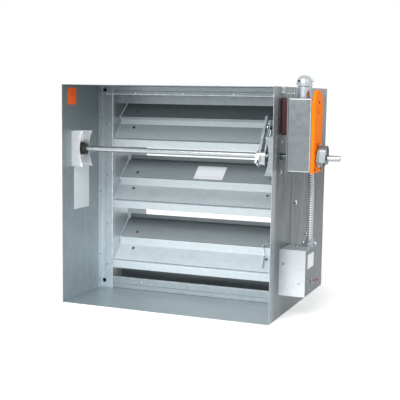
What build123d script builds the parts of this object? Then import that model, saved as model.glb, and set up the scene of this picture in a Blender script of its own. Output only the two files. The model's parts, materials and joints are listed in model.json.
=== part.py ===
from build123d import *
from math import cos, pi, radians, sin, sqrt
import os

# Motorised smoke damper: three V-ridge blades in a hat-section frame, inside a galvanised sleeve.
# A jackshaft in front of the blades is turned by an actuator outside the right wall.
# Millimetres. Origin at the centre of the sleeve's bottom face, +Y rearwards, +Z up.

# Sleeve
sleeve_width = 759.0
sleeve_height = 762.0
sleeve_length = 686.0
sleeve_gauge = 1.3

# Frame inside the sleeve
frame_setback = 286.0
frame_depth = 127.0
frame_gauge = 1.6
brim_width = 23.0
jamb_stand = 49.7
head_drop = 32.7
sill_rise = 43.3
rear_lip = 12.0
lip_return = 9.0
step_from_sleeve = 17.0
step_height = 1.2
corner_notch = 14.0
sheet_bend = 0.8

# Stops and side seals
head_stop_drop = 64.7
head_stop_short = 44.5
sill_stop_rise = 68.7
stop_foot = 20.0
bulb_height = 5.0
bulb_width = 9.0
side_seal_gauge = 0.8
side_seal_width = 108.0

# Blades
blade_pitch = 228.6
blade_gauge = 1.5
blade_end_gap = 2.5
lowest_axis_height = 172.8
highest_axis_drop = 130.0
rest_tilt = 51.05
closed_tilt = 90.0
nose_facet = (20.6, 16.7)
nose_foot = (28.0, 11.6)
centre_foot = (100.8, 5.0)
centre_ridge = (122.8, 22.5)
rear_foot = (213.6, 2.3)
rear_valley = (230.8, -9.5)
blade_chord = 242.4
axle_chord_place = 115.0
axle_height = 5.4
link_notch = (36.0, 13.0)

# Axles, bushes and the tie linkage in the right jamb
axle_diameter = 12.7
axle_grip = 90.0
running_gap = 0.05
bush_wall = 2.1
bush_flange = 3.5
tie_crank_radius = 38.0
tie_bar_width = 20.0
tie_gauge = 4.0
tie_pin_diameter = 8.0
strap_width = 24.0
strap_gauge = 2.5
bolt_diameter = 6.0

# Jackshaft, crank and drive link
shaft_diameter = 19.05
shaft_setback = 98.5
shaft_rise = 136.1
shaft_reach = 193.5
shaft_groove = (2.0, 0.8)
shaft_chamfer = 1.0
crank_rest = 65.7
crank_radius = 100.0
crank_length = 138.0
crank_plate = 3.0
link_width = 16.0
link_gauge = 4.0
link_side_gap = 7.5
side_play = 0.3
crank_pin_diameter = 8.0

# Shaft brackets and bearings
bracket_height = 125.0
bracket_width = 69.0
bracket_reach = 46.0
bracket_waist = 14.0
bracket_gauge = 2.5
bearing_reach = 42.0

# Actuator
actuator_stand = 29.0
actuator_width = 98.0
actuator_below = 46.5
actuator_above = 190.0
back_plate_thickness = 4.0
housing_depth = 76.0
cover_depth = 11.0
hub_radius = 14.5
clamp_reach = 33.0

# Conduit
conduit_diameter = 20.0
connector_radius = 19.5
dome = (47.0, 24.5)
connector_offset = 69.0
elbow_rise = 53.5
elbow_reach = 30.0
straight_offset = 73.5
conduit_lead = 32.5
conduit_bow = ((61.5, 191.0, 38.5), (56.5, 207.0, 7.5), (55.0, 212.0, -32.5))
conduit_fall = ((0.839, 58.5, 212.0), (0.667, 65.5, 211.0), (0.494, 70.5, 209.5), (0.322, 74.5, 208.5), (0.161, 73.5, 208.0))

# Control box
box_setback = 101.0
box_size = (88.0, 136.0, 152.0)
box_floor = 80.0
knockout_radius = 11.1
toggle_place = (81.0, 41.0)
cover_screws = ((15.0, 106.0), (68.0, 43.0))
side_screw_places = ((27.0, 50.0), (49.0, 16.0))
switch_place = (30.0, 55.0)
switch_size = (38.0, 62.0, 52.0)
terminal_count = 3
terminal_radius = 4.0

# Places that follow from the sizes above
wall_in = sleeve_width / 2 - sleeve_gauge
wall_out = sleeve_width / 2
front_edge = -sleeve_length / 2
top_in = sleeve_height - sleeve_gauge
frame_front = front_edge + frame_setback
frame_back = frame_front + frame_depth
axle_y = frame_front + frame_depth / 2
web_x = wall_in - jamb_stand
blade_count = int((sleeve_height - lowest_axis_height - highest_axis_drop) / blade_pitch) + 1
axle_heights = [lowest_axis_height + blade_pitch * i for i in range(blade_count)]
drive_blade = (blade_count - 1) // 2
shaft_height = axle_heights[drive_blade] + shaft_rise
shaft_y = front_edge + shaft_setback
shaft_radius = shaft_diameter / 2
axle_radius = axle_diameter / 2
blade_half = web_x - blade_end_gap
link_x = web_x - link_side_gap - link_gauge
crank_x = link_x - 4.0 - crank_plate
crank_right_x = link_x + link_gauge + 5.0


def sheet_section(points, gauge, bend=sheet_bend):
    """Face of a bent sheet: points on one surface, the sheet on the left of the path (right if gauge < 0)."""
    thick = abs(gauge)
    side = 1 if gauge > 0 else -1
    pts = [Vector(*p) for p in points]
    runs = [(pts[i + 1] - pts[i]).normalized() for i in range(len(pts) - 1)]
    normals = [Vector(-r.Y, r.X) * side for r in runs]
    far = [pts[0] + normals[0] * thick]
    near_radii = []
    far_radii = []
    for i in range(1, len(pts) - 1):
        mitre = (normals[i - 1] + normals[i]) * (thick / (1 + normals[i - 1].dot(normals[i])))
        far.append(pts[i] + mitre)
        turns_to_sheet = runs[i - 1].cross(runs[i]).Z * side > 0
        near_radii.append(bend + thick if turns_to_sheet else bend)
        far_radii.append(bend if turns_to_sheet else bend + thick)
    far.append(pts[-1] + normals[-1] * thick)
    if not near_radii:
        return make_face(Polyline(*pts, *reversed(far), close=True))
    near_line = FilletPolyline(*pts, radius=near_radii)
    far_line = FilletPolyline(*far, radius=far_radii)
    ends = [Line(pts[-1], far[-1]), Line(far[0], pts[0])]
    return make_face(near_line.edges() + far_line.edges() + ends)


def along_x(face, start, end):
    """Extrude a face drawn in (Y, Z) from x = start to x = end."""
    return extrude(Plane.YZ.offset(start) * face, amount=end - start, dir=(1, 0, 0))


def along_z(face, start, end):
    """Extrude a face drawn in (X, Y) from z = start to z = end."""
    return extrude(Plane.XY.offset(start) * face, amount=end - start, dir=(0, 0, 1))


def rod_x(radius, start, end, y, z):
    """Round bar along X."""
    return along_x(Pos(y, z) * Circle(radius), start, end)


def rod_z(radius, start, end, x, y):
    """Round bar along Z."""
    return along_z(Pos(x, y) * Circle(radius), start, end)


def rod_y(radius, start, end, x, z):
    """Round bar along Y."""
    face = Plane(origin=(x, start, z), x_dir=(1, 0, 0), z_dir=(0, 1, 0)) * Circle(radius)
    return extrude(face, amount=end - start, dir=(0, 1, 0))


def block(x0, x1, y0, y1, z0, z1):
    """Box between two corners."""
    return Pos((x0 + x1) / 2, (y0 + y1) / 2, (z0 + z1) / 2) * Box(x1 - x0, y1 - y0, z1 - z0)


def hex_x(across, start, end, y, z):
    """Hexagonal nut or head along X."""
    return along_x(Pos(y, z) * RegularPolygon(across / 2, 6, major_radius=False), start, end)


def mirrored(shape):
    """The same piece on the other side of the damper."""
    return mirror(shape, about=Plane.YZ)


def polar(radius, angle):
    """Offset in (Y, Z) at an angle above +Y."""
    return (radius * cos(radians(angle)), radius * sin(radians(angle)))


def on_blade(chord, height, axis_z):
    """A place on a blade at rest, as (Y, Z): distance along the chord and height above its base line."""
    s = chord - axle_chord_place
    n = height - axle_height
    c = cos(radians(rest_tilt))
    d = sin(radians(rest_tilt))
    return (axle_y + s * c - n * d, axis_z + s * d + n * c)


def write(name, *pieces):
    """Write one node."""
    solids = [solid for piece in pieces for solid in piece.solids()]
    export_step(Compound(children=solids), f"parts/{name}.step")


os.makedirs("parts", exist_ok=True)

# Screws that hold the sleeve to the frame: (x, y) on the top, (y, z) on the sides
screw_radius = 2.1
screw_head = (8.0, 4.0)
screw_washer = (5.6, 1.0)
screw_gap = 0.1
brim_front_y = frame_front - brim_width / 2
brim_back_y = frame_back + brim_width / 2
head_screw_pitch = 176.0
top_screws = [((i - 1.56) * head_screw_pitch, frame_front + 14) for i in range(4)]
top_screws += [((i - 0.94) * head_screw_pitch, frame_back - 14) for i in range(3)]
side_screws = [(brim_front_y, sleeve_height * f) for f in (0.17, 0.48, 0.84)]
side_screws += [(brim_back_y, sleeve_height * f) for f in (0.312, 0.735)]


def top_screw(x, y):
    """Hexagon-head screw down through the top sheet into the head channel."""
    face = Pos(x, y) * RegularPolygon(screw_head[0] / 2, 6, major_radius=False)
    head = along_z(face, sleeve_height, sleeve_height + screw_head[1])
    head += rod_z(screw_washer[0], sleeve_height, sleeve_height + screw_washer[1], x, y)
    return head + rod_z(screw_radius, top_in - 6, sleeve_height, x, y)


def side_screw(y, z):
    """Hexagon-head screw through the right wall into a jamb brim."""
    head = hex_x(screw_head[0], wall_out, wall_out + screw_head[1], y, z)
    head += rod_x(screw_washer[0], wall_out, wall_out + screw_washer[1], y, z)
    return head + rod_x(screw_radius, wall_in - 6, wall_out, y, z)


# Bracket screws, from inside the duct out through the walls
bracket_screw_rise = bracket_height / 2 - 13
bracket_screws = [(shaft_y - 13.0, shaft_height + bracket_screw_rise)]
bracket_screws += [(shaft_y - 13.0, shaft_height - bracket_screw_rise)]
shaft_hole = shaft_radius + 3

# Sleeve sheets
right_wall = block(wall_in, wall_out, front_edge, -front_edge, 0, sleeve_height)
right_wall -= [rod_x(screw_radius + screw_gap, wall_in, wall_out, y, z) for y, z in side_screws + bracket_screws]
left_wall = mirrored(right_wall)
right_wall -= rod_x(shaft_hole, wall_in, wall_out, shaft_y, shaft_height)
top_sheet = block(-wall_in, wall_in, front_edge, -front_edge, top_in, sleeve_height)
top_sheet -= [rod_z(screw_radius + screw_gap, top_in, sleeve_height, x, y) for x, y in top_screws]
bottom_sheet = block(-wall_in, wall_in, front_edge, -front_edge, 0, sleeve_gauge)
write("sleeve_right_wall", right_wall)
write("sleeve_left_wall", left_wall)
write("sleeve_top_sheet", top_sheet)
write("sleeve_bottom_sheet", bottom_sheet)
side_set = [side_screw(y, z) for y, z in side_screws]
write("sleeve_screws", *side_set, *[mirrored(s) for s in side_set], *[top_screw(x, y) for x, y in top_screws])

# Jambs: hat section with brims on the wall, legs, and a web that faces the opening
step_y = frame_front - step_height
jamb_path = [
    (wall_in - frame_gauge, frame_front - brim_width),
    (wall_in - frame_gauge, frame_front),
    (wall_in - step_from_sleeve, frame_front),
    (wall_in - step_from_sleeve - 2 * step_height, step_y),
    (web_x, step_y),
    (web_x, frame_back),
    (wall_in - frame_gauge, frame_back),
    (wall_in - frame_gauge, frame_back + brim_width),
]
bush_radius = axle_radius + bush_wall
jamb = along_z(sheet_section(jamb_path, -frame_gauge), sleeve_gauge, top_in)
jamb -= [rod_x(bush_radius, web_x - 1, web_x + frame_gauge + 1, axle_y, z) for z in axle_heights]
jamb -= [rod_x(screw_radius + screw_gap, wall_in - 3, wall_in, y, z) for y, z in side_screws]
notch_x = wall_in - corner_notch / 2 - step_from_sleeve / 2 + 1
for notch_z in (sleeve_gauge + 25, top_in - 15):
    jamb -= Pos(notch_x, frame_front, notch_z) * Box(corner_notch, 6, corner_notch)
write("jamb_right", jamb)
write("jamb_left", mirrored(jamb))


def channel_path(face_z, lip_z, inward):
    """Head or sill channel in (Y, Z): return lip, front leg with its step, web on the sleeve, rear lip."""
    step_z = face_z + inward * step_from_sleeve
    return [
        (step_y + lip_return, lip_z),
        (step_y, lip_z),
        (step_y, step_z + inward * 2 * step_height),
        (frame_front, step_z),
        (frame_front, face_z),
        (frame_back, face_z),
        (frame_back, face_z + inward * rear_lip),
    ]


head_lip = top_in - head_drop
sill_lip = sleeve_gauge + sill_rise
head = along_x(sheet_section(channel_path(top_in, head_lip, -1), -frame_gauge), -web_x, web_x)
head -= [rod_z(screw_radius + screw_gap, top_in - 3, top_in, x, y) for x, y in top_screws]
sill = along_x(sheet_section(channel_path(sleeve_gauge, sill_lip, 1), frame_gauge), -web_x, web_x)
write("frame_head", head)
write("frame_sill", sill)

# Corner brackets behind the front legs, between jamb web and channel web
bracket_leg = 26.0
corner_y = (frame_front + 6, frame_front + 30)
head_web = top_in - frame_gauge
sill_web = sleeve_gauge + frame_gauge
corner_brackets = []
for level, inward in ((head_web, -1), (sill_web, 1)):
    path = [(web_x, level + inward * bracket_leg), (web_x, level), (web_x - bracket_leg, level)]
    face = Plane.XZ * sheet_section(path, -inward * frame_gauge)
    bracket = extrude(Pos(0, corner_y[0], 0) * face, amount=corner_y[1] - corner_y[0], dir=(0, 1, 0))
    corner_brackets += [bracket, mirrored(bracket)]
write("corner_brackets", *corner_brackets)

# Blade stops and the bulb seal on the head stop
head_stop_y = axle_y - 11.5
head_stop_end = web_x - head_stop_short
head_stop_z = top_in - head_stop_drop
head_stop_path = [(head_stop_y, head_stop_z), (head_stop_y, head_web), (head_stop_y - stop_foot, head_web)]
head_stop = along_x(sheet_section(head_stop_path, frame_gauge), -web_x, head_stop_end)
sill_stop_y = axle_y + 13.5
sill_stop_z = sleeve_gauge + sill_stop_rise
sill_stop_path = [(sill_stop_y, sill_stop_z), (sill_stop_y, sill_web), (sill_stop_y + stop_foot, sill_web)]
sill_stop = along_x(sheet_section(sill_stop_path, frame_gauge), -web_x, web_x)
write("head_stop", head_stop)
write("sill_stop", sill_stop)


def bulb_face(start, along, outward):
    """D-shaped bulb seal: a flat base from start, crowned in the direction outward."""
    a = Vector(*start)
    b = a + Vector(*along) * bulb_width
    rise = Vector(*outward) * bulb_height
    shoulder = rise * 0.4
    crown = ThreePointArc(b + shoulder, (a + b) * 0.5 + rise, a + shoulder)
    return make_face([Line(a, b), Line(b, b + shoulder), crown, Line(a + shoulder, a)])


head_bulb = bulb_face((head_stop_y, head_stop_z + 2), (0, 1), (1, 0))
write("head_stop_seal", along_x(head_bulb, -web_x + 4, head_stop_end - 4))

# Side seals: thin strips on the jamb webs, cleared round the bushes
side_seal = block(web_x - side_seal_gauge, web_x, axle_y - side_seal_width / 2, axle_y + side_seal_width / 2,
                  sill_stop_z + 4, head_stop_z - 4)
side_seal -= [rod_x(bush_radius + 1, web_x - 2, web_x + 1, axle_y, z) for z in axle_heights]
write("side_seals", side_seal, mirrored(side_seal))

# Flanged bushes pressed into the jamb webs
bush_back = web_x + frame_gauge
bush_profile = [
    (axle_radius + running_gap, web_x - 0.9),
    (bush_radius, web_x - 0.9),
    (bush_radius, bush_back),
    (bush_radius + bush_flange, bush_back),
    (bush_radius + bush_flange, bush_back + 1.6),
    (bush_radius, bush_back + 1.6),
    (bush_radius, bush_back + 7),
    (axle_radius + running_gap, bush_back + 7),
]
bushes = []
for axis_z in axle_heights:
    turned = revolve(Plane.XY * make_face(Polyline(*bush_profile, close=True)), Axis.Y)
    bush = Pos(0, axle_y, axis_z) * Rot(0, 0, -90) * turned
    bushes += [bush, mirrored(bush)]
write("blade_bushes", *bushes)

# Blades
blade_path = [(0, 0), nose_facet, nose_foot, centre_foot, centre_ridge, rear_foot, rear_valley, (blade_chord, 0)]
bolt_gap = 0.1
strap_bolt_chords = (84.0, 150.0)
strap_inset = 62.0
strap_end = 12.0


def height_on(chord):
    """Height of the blade's visible surface at a place along the chord."""
    for (s0, n0), (s1, n1) in zip(blade_path, blade_path[1:]):
        if s0 <= chord <= s1:
            return n0 + (n1 - n0) * (chord - s0) / (s1 - s0)


def blade_normal(direction):
    """Unit vectors along and square to a blade facet given by its two ends, in chord and height."""
    (s0, n0), (s1, n1) = direction
    length = sqrt((s1 - s0) ** 2 + (n1 - n0) ** 2)
    return ((s1 - s0) / length, (n1 - n0) / length), ((n0 - n1) / length, (s1 - s0) / length)


def blade_bolt(chord, facet, x, axis_z, grip):
    """Carriage bolt square to a facet, with its nut under the strap."""
    run, up = blade_normal(facet)
    y, z = on_blade(chord, height_on(chord), axis_z)
    yt, zt = on_blade(chord + up[0], height_on(chord) + up[1], axis_z)
    plane = Plane(origin=(x, y, z), x_dir=(1, 0, 0), z_dir=(0, yt - y, zt - z))
    radius = bolt_diameter / 2
    head = plane * Cylinder(radius * 2, 2.0, align=(Align.CENTER, Align.CENTER, Align.MIN))
    shank = plane * Cylinder(radius, grip + 6, align=(Align.CENTER, Align.CENTER, Align.MAX))
    nut_face = plane.offset(-grip) * RegularPolygon(5.0, 6, major_radius=False)
    nut = extrude(nut_face, amount=4.5, dir=(0, y - yt, z - zt))
    hole = plane * Cylinder(radius + bolt_gap, 40)
    return head + shank + nut, hole


strap_points = [
    (strap_bolt_chords[0] - strap_end, None),
    (strap_bolt_chords[0] + strap_end - 3, None),
    (axle_chord_place - 11, axle_height - axle_radius),
    (axle_chord_place + 11, axle_height - axle_radius),
    (strap_bolt_chords[1] - strap_end + 3, None),
    (strap_bolt_chords[1] + strap_end, None),
]
lower_facet = (nose_foot, centre_foot)
upper_facet = (centre_ridge, rear_foot)


def under(chord, facet):
    """Height of the sheet's underside at a chord place on a flat facet."""
    run, up = blade_normal(facet)
    return height_on(chord) - blade_gauge / up[1]


def strap_place(chord, height):
    """A strap corner: under the sheet where no height is given."""
    if height is not None:
        return (chord, height)
    return (chord, under(chord, lower_facet if chord < centre_foot[0] else upper_facet))


for number, axis_z in zip(range(blade_count, 0, -1), axle_heights):
    outline = [on_blade(s, n, axis_z) for s, n in blade_path]
    skin = along_x(sheet_section(outline, -blade_gauge, 0.9), -blade_half, blade_half)
    strap_path = [on_blade(*strap_place(s, n), axis_z) for s, n in strap_points]
    strap_face = sheet_section(strap_path, -strap_gauge, 1.0)
    hardware = []
    cutters = []
    for side in (-1, 1):
        mid = side * (blade_half - strap_inset)
        strap = along_x(strap_face, mid - strap_width / 2, mid + strap_width / 2)
        grip = blade_gauge + strap_gauge
        for chord, facet in zip(strap_bolt_chords, (lower_facet, upper_facet)):
            bolt, hole = blade_bolt(chord, facet, mid, axis_z, grip)
            hardware.append(bolt)
            cutters.append(hole)
            strap -= hole
        hardware.append(strap)
    skin -= cutters
    if number == 1:
        corner = [on_blade(s, n, axis_z) for s, n in ((-20, -30), (link_notch[0], -30), (link_notch[0], 40), (-20, 40))]
        skin -= along_x(make_face(Polyline(*corner, close=True)), blade_half - link_notch[1], blade_half + 5)
    write(f"blade_{number}_skin", skin)
    write(f"blade_{number}_straps", *hardware)

    # Stub axles; the right one carries the crank of the tie linkage
    crank_inner = web_x + frame_gauge + 12.5
    tie_angle = 180 - ((closed_tilt / 2) - rest_tilt)
    dy, dz = polar(tie_crank_radius, tie_angle)
    left_axle = rod_x(axle_radius, -(web_x + 13), -(blade_half - axle_grip), axle_y, axis_z)
    right_axle = rod_x(axle_radius, blade_half - axle_grip, crank_inner + tie_gauge + 8, axle_y, axis_z)
    boss = Circle(axle_radius + 6)
    eye = Pos(tie_crank_radius, 0) * Circle(9)
    crank_face = Rot(0, 0, tie_angle) * make_hull((boss + eye).edges())
    crank = along_x(Pos(axle_y, axis_z) * crank_face, crank_inner, crank_inner + tie_gauge)
    pin = rod_x(tie_pin_diameter / 2, crank_inner, crank_inner + 2 * tie_gauge + 2 * side_play, axle_y + dy, axis_z + dz)
    pin_head = rod_x(tie_pin_diameter / 2 + 2.5, crank_inner + 2 * tie_gauge + 2 * side_play,
                     crank_inner + 2 * tie_gauge + 2 * side_play + 2.5, axle_y + dy, axis_z + dz)
    write(f"blade_{number}_axles", left_axle, right_axle + crank + pin + pin_head)

    # Bulb seal under the nose facet
    run, up = blade_normal(((0, 0), nose_facet))
    base = (run[0] * 3 + up[0] * -blade_gauge, run[1] * 3 + up[1] * -blade_gauge)
    a = on_blade(*base, axis_z)
    b = on_blade(base[0] + run[0], base[1] + run[1], axis_z)
    out = on_blade(base[0] - up[0], base[1] - up[1], axis_z)
    seal_face = bulb_face(a, (b[0] - a[0], b[1] - a[1]), (out[0] - a[0], out[1] - a[1]))
    write(f"blade_{number}_seal", along_x(seal_face, -blade_half + 6, blade_half - link_notch[1] - 4))

# Tie bar that joins the three blade cranks
tie_x = web_x + frame_gauge + 12.5 + tie_gauge + side_play
tie_y = axle_y + dy
tie_low = axle_heights[0] + dz
tie_high = axle_heights[-1] + dz
tie_face = Pos(tie_y, (tie_low + tie_high) / 2) * SlotCenterToCenter(tie_high - tie_low, tie_bar_width, rotation=90)
for axis_z in axle_heights:
    tie_face -= Pos(tie_y, axis_z + dz) * Circle(tie_pin_diameter / 2 + running_gap)
write("tie_bar", along_x(tie_face, tie_x, tie_x + tie_gauge))

# Drive bracket on the middle blade, with the pin that the drive link turns on
drive_axis_z = axle_heights[drive_blade]
drive_dy, drive_dz = polar(crank_radius, crank_rest)
drive_pin = (axle_y + drive_dy, drive_axis_z + drive_dz)
bracket_right = link_x - 1.5
foot_chords = (188.0, 208.0)
foot_out = 22.0
_, facet_up = blade_normal(upper_facet)
foot_low = [on_blade(s, height_on(s), drive_axis_z) for s in foot_chords]
foot_high = [on_blade(s + facet_up[0] * 3, height_on(s) + facet_up[1] * 3, drive_axis_z) for s in foot_chords]
foot_face = make_face(Polyline(foot_low[0], foot_low[1], foot_high[1], foot_high[0], close=True))
foot = along_x(foot_face, bracket_right - foot_out, bracket_right)
ear_base = make_face(Polyline(foot_low[0], foot_low[1], foot_high[1], foot_high[0], close=True))
ear_eye = Pos(*drive_pin) * Circle(9)
ear_face = make_hull(ear_base.edges() + ear_eye.edges())
ear_face -= Pos(*drive_pin) * Circle(crank_pin_diameter / 2)
ear = along_x(ear_face, bracket_right - 3, bracket_right)
write("drive_bracket", foot + ear)
pin_radius = crank_pin_diameter / 2
blade_pin = rod_x(pin_radius, bracket_right - 3, link_x + link_gauge + side_play, *drive_pin)
blade_pin += rod_x(pin_radius + 3, bracket_right, link_x - side_play, *drive_pin)
blade_pin += rod_x(pin_radius + 3, link_x + link_gauge + side_play, link_x + link_gauge + 3, *drive_pin)
write("drive_bracket_pin", blade_pin)

# Drive link between crank pin and drive bracket
crank_pin_at = (shaft_y + drive_dy, shaft_height + drive_dz)
link_ends = Pos(*crank_pin_at) * Circle(link_width / 2) + Pos(*drive_pin) * Circle(link_width / 2)
link_face = make_hull(link_ends.edges())
for place in (crank_pin_at, drive_pin):
    link_face -= Pos(*place) * Circle(pin_radius + running_gap)
write("drive_link", along_x(link_face, link_x, link_x + link_gauge))

# Crank arm: two plates on a hub, the left one long with a rib along its front edge
crank_hub = shaft_radius + 10.0
crank_heel = (24.0, 11.0)
arm_tip = 5.0
slot_start = 40.0
rib_size = (5.0, 3.0)


def arm_plate(length, tip):
    """Tapered plate with a slot for the crank pin and a rounded heel, drawn along +Y from the shaft centre."""
    heel = Pos(-crank_heel[0], 0) * Circle(crank_heel[1])
    outline = make_hull((Circle(crank_hub) + heel + Pos(length, 0) * Circle(tip)).edges())
    slot_end = crank_radius + crank_pin_diameter / 2 + 2
    slot = Pos((slot_start + slot_end) / 2, 0) * SlotOverall(slot_end - slot_start, crank_pin_diameter)
    return outline - Circle(shaft_radius) - slot


def on_shaft(face, angle):
    """Turn a face drawn along +Y to an angle about the shaft."""
    return Pos(shaft_y, shaft_height) * Rot(0, 0, angle) * face


left_plate = along_x(on_shaft(arm_plate(crank_length, arm_tip), crank_rest), crank_x, crank_x + crank_plate)
right_plate = along_x(on_shaft(arm_plate(crank_radius + 12, 9), crank_rest),
                      crank_right_x, crank_right_x + crank_plate)
hub_face = make_hull((Circle(crank_hub - 2) + Pos(-crank_heel[0], 0) * Circle(crank_heel[1] - 2)).edges())
hub = along_x(on_shaft(hub_face - Circle(shaft_radius), crank_rest), crank_x + crank_plate, crank_right_x)
taper = (crank_hub - arm_tip) / crank_length
rib_corners = [
    (crank_hub * taper, crank_hub),
    (crank_length, arm_tip),
    (crank_length, arm_tip - rib_size[1]),
    (crank_hub * taper, crank_hub - rib_size[1]),
]
rib_face = make_face(Polyline(*rib_corners, close=True))
rib = along_x(on_shaft(rib_face, crank_rest), crank_x - rib_size[0], crank_x + crank_plate)
write("crank_arm", left_plate + right_plate + hub + rib)


def u_bolt(x, angle, leg, wire, nut_from):
    """U-bolt over the shaft at x: round wire with its two legs pointing at angle, and a nut on each leg."""
    radius = shaft_radius + wire
    ahead = (0, cos(radians(angle)), sin(radians(angle)))
    frame = Plane(origin=(x, shaft_y, shaft_height), x_dir=ahead, z_dir=(1, 0, 0))
    bow = ThreePointArc((0, radius), (-radius, 0), (0, -radius))
    path = frame * Wire([Line((leg, radius), (0, radius)), bow, Line((0, -radius), (leg, -radius))])
    section = Plane(origin=frame.from_local_coords((leg, radius, 0)), z_dir=ahead) * Circle(wire)
    pieces = [sweep(section, path=path)]
    for side in (radius, -radius):
        seat = Plane(origin=frame.from_local_coords((nut_from, side, 0)), x_dir=(1, 0, 0), z_dir=ahead)
        nut = seat * (RegularPolygon(wire * 1.7, 6, major_radius=False) - Circle(wire))
        pieces.append(extrude(nut, amount=wire * 1.6))
    return pieces


# Crank clamp: a saddle under the shaft beside the arm, pulled up by a U-bolt over the shaft
u_wire = 3.5
saddle_x = (crank_x - rib_size[0] - 8.0, crank_x)
saddle_depth = 25.0
saddle_half = shaft_radius + 2 * u_wire + 2.5
u_bolt_x = saddle_x[0] + u_wire + 0.5
saddle_face = Pos(-saddle_depth / 2, 0) * Rectangle(saddle_depth, 2 * saddle_half)
saddle_face = fillet(saddle_face.vertices().group_by(Axis.X)[0], 7)
saddle = along_x(on_shaft(saddle_face - Circle(shaft_radius), crank_rest), *saddle_x)
for side in (-1, 1):
    track = Pos(-saddle_depth / 2, side * (shaft_radius + u_wire)) * Rectangle(saddle_depth + 1, 2 * u_wire)
    saddle -= along_x(on_shaft(track, crank_rest), u_bolt_x - u_wire, u_bolt_x + u_wire)
write("crank_saddle", saddle)
write("crank_u_bolt", *u_bolt(u_bolt_x, crank_rest + 180, saddle_depth + 9, u_wire, saddle_depth))

# Crank pin: bolt through both plates and the link, spacers and nut
pin_y, pin_z = crank_pin_at
pin_solid = rod_x(pin_radius, crank_x - 3, crank_right_x + crank_plate + 8, pin_y, pin_z)
pin_solid += hex_x(10, crank_x - 5.5, crank_x, pin_y, pin_z)
pin_solid += rod_x(pin_radius + 3, crank_x + crank_plate, link_x - side_play, pin_y, pin_z)
pin_solid += rod_x(pin_radius + 3, link_x + link_gauge + side_play, crank_right_x, pin_y, pin_z)
pin_solid += hex_x(13, crank_right_x + crank_plate, crank_right_x + crank_plate + 6, pin_y, pin_z)
write("crank_pin", pin_solid)

# Trip wire of the position switch, held by a clip on the lowest blade
wire_radius = 1.5
clip_radius = 3.2
clip_height = 6.0
clip_chord = centre_ridge[0] + 5
trip_z = axle_heights[0]
clip_x = 246.0
trip_rise = ((70.0, 150.0, 62.0), (30.0, 140.0, 36.0))
trip_fall = ((12.0, 92.0, 17.0), (17.0, 40.0, 21.0))
clip_seat = (clip_x, *on_blade(clip_chord, height_on(clip_chord), trip_z))
_, clip_up = blade_normal(upper_facet)
trip_bolt = (clip_x, *on_blade(clip_chord + clip_up[0] * clip_height, height_on(clip_chord) + clip_up[1] * clip_height, trip_z))
trip_points = [(clip_x + x, *on_blade(s, n, trip_z)) for x, s, n in trip_rise]
trip_points.append(trip_bolt)
trip_points += [(clip_x + x, *on_blade(s, n, trip_z)) for x, s, n in trip_fall]
trip_path = FilletPolyline(*trip_points, radius=[6, 4, 6])
trip_section = Plane(origin=trip_points[0], z_dir=trip_path % 0) * Circle(wire_radius)
clip_plane = Plane(origin=clip_seat, z_dir=Vector(*trip_bolt) - Vector(*clip_seat))
clip = clip_plane * Cylinder(2.2, clip_height, align=(Align.CENTER, Align.CENTER, Align.MIN))
clip += Pos(*trip_bolt) * Sphere(clip_radius)
write("switch_trip_wire", sweep(trip_section, path=trip_path) + clip)

# Shaft brackets: channel on the wall with waisted legs
bracket_z = (shaft_height - bracket_height / 2, shaft_height + bracket_height / 2)
leg_x = wall_in - bracket_reach
leg_edge = ThreePointArc((leg_x, bracket_z[0]), (leg_x + bracket_waist, shaft_height), (leg_x, bracket_z[1]))
leg_face = make_face([leg_edge, Line((leg_x, bracket_z[1]), (wall_in, bracket_z[1])),
                      Line((wall_in, bracket_z[1]), (wall_in, bracket_z[0])),
                      Line((wall_in, bracket_z[0]), (leg_x, bracket_z[0]))])


def leg_at(y):
    """One waisted leg, its front face at y."""
    face = Plane(origin=(0, y, 0), x_dir=(1, 0, 0), z_dir=(0, -1, 0)) * leg_face
    return extrude(face, amount=bracket_gauge, dir=(0, 1, 0))


bracket = block(wall_in - bracket_gauge, wall_in, shaft_y - bracket_width / 2, shaft_y + bracket_width / 2, *bracket_z)
bracket += leg_at(shaft_y - bracket_width / 2) + leg_at(shaft_y + bracket_width / 2 - bracket_gauge)
bracket -= [rod_x(screw_radius + screw_gap, wall_in - 4, wall_in, y, z) for y, z in bracket_screws]
bracket -= rod_x(shaft_hole, wall_in - 4, wall_in, shaft_y, shaft_height)
write("shaft_bracket_right", bracket)
write("shaft_bracket_left", mirrored(bracket))
fixings = []
for y, z in bracket_screws:
    fixing = rod_x(screw_radius, wall_in - bracket_gauge, wall_out + 4, y, z)
    fixings.append(fixing + rod_x(screw_radius * 2.1, wall_in - bracket_gauge - 2.5, wall_in - bracket_gauge, y, z))
write("bracket_screws", *fixings, *[mirrored(f) for f in fixings])

# Flanged shaft bearings on the brackets
seat = wall_in - bracket_gauge
bearing_profile = [
    (shaft_radius + running_gap, seat),
    (27, seat),
    (27, seat - 4),
    (22.5, seat - 6),
    (21.5, wall_in - bearing_reach + 8),
    (18, wall_in - bearing_reach + 5),
    (18, wall_in - bearing_reach),
    (shaft_radius + running_gap, wall_in - bearing_reach),
]
bearing = revolve(Plane.XY * make_face(Polyline(*bearing_profile, close=True)), Axis.Y)
bearing = Pos(0, shaft_y, shaft_height) * Rot(0, 0, -90) * bearing
write("shaft_bearing_right", bearing)
write("shaft_bearing_left", mirrored(bearing))

# Actuator: back plate, housing and front cover, all with a bore round the shaft
half_width = actuator_width / 2
plate_x = wall_out + actuator_stand
housing_x = plate_x + back_plate_thickness
cover_x = housing_x + housing_depth
cover_face_x = cover_x + cover_depth
actuator_low = shaft_height - actuator_below
actuator_high = shaft_height + actuator_above
hub_clearance = 0.3
arch_drop = 24.5


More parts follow.
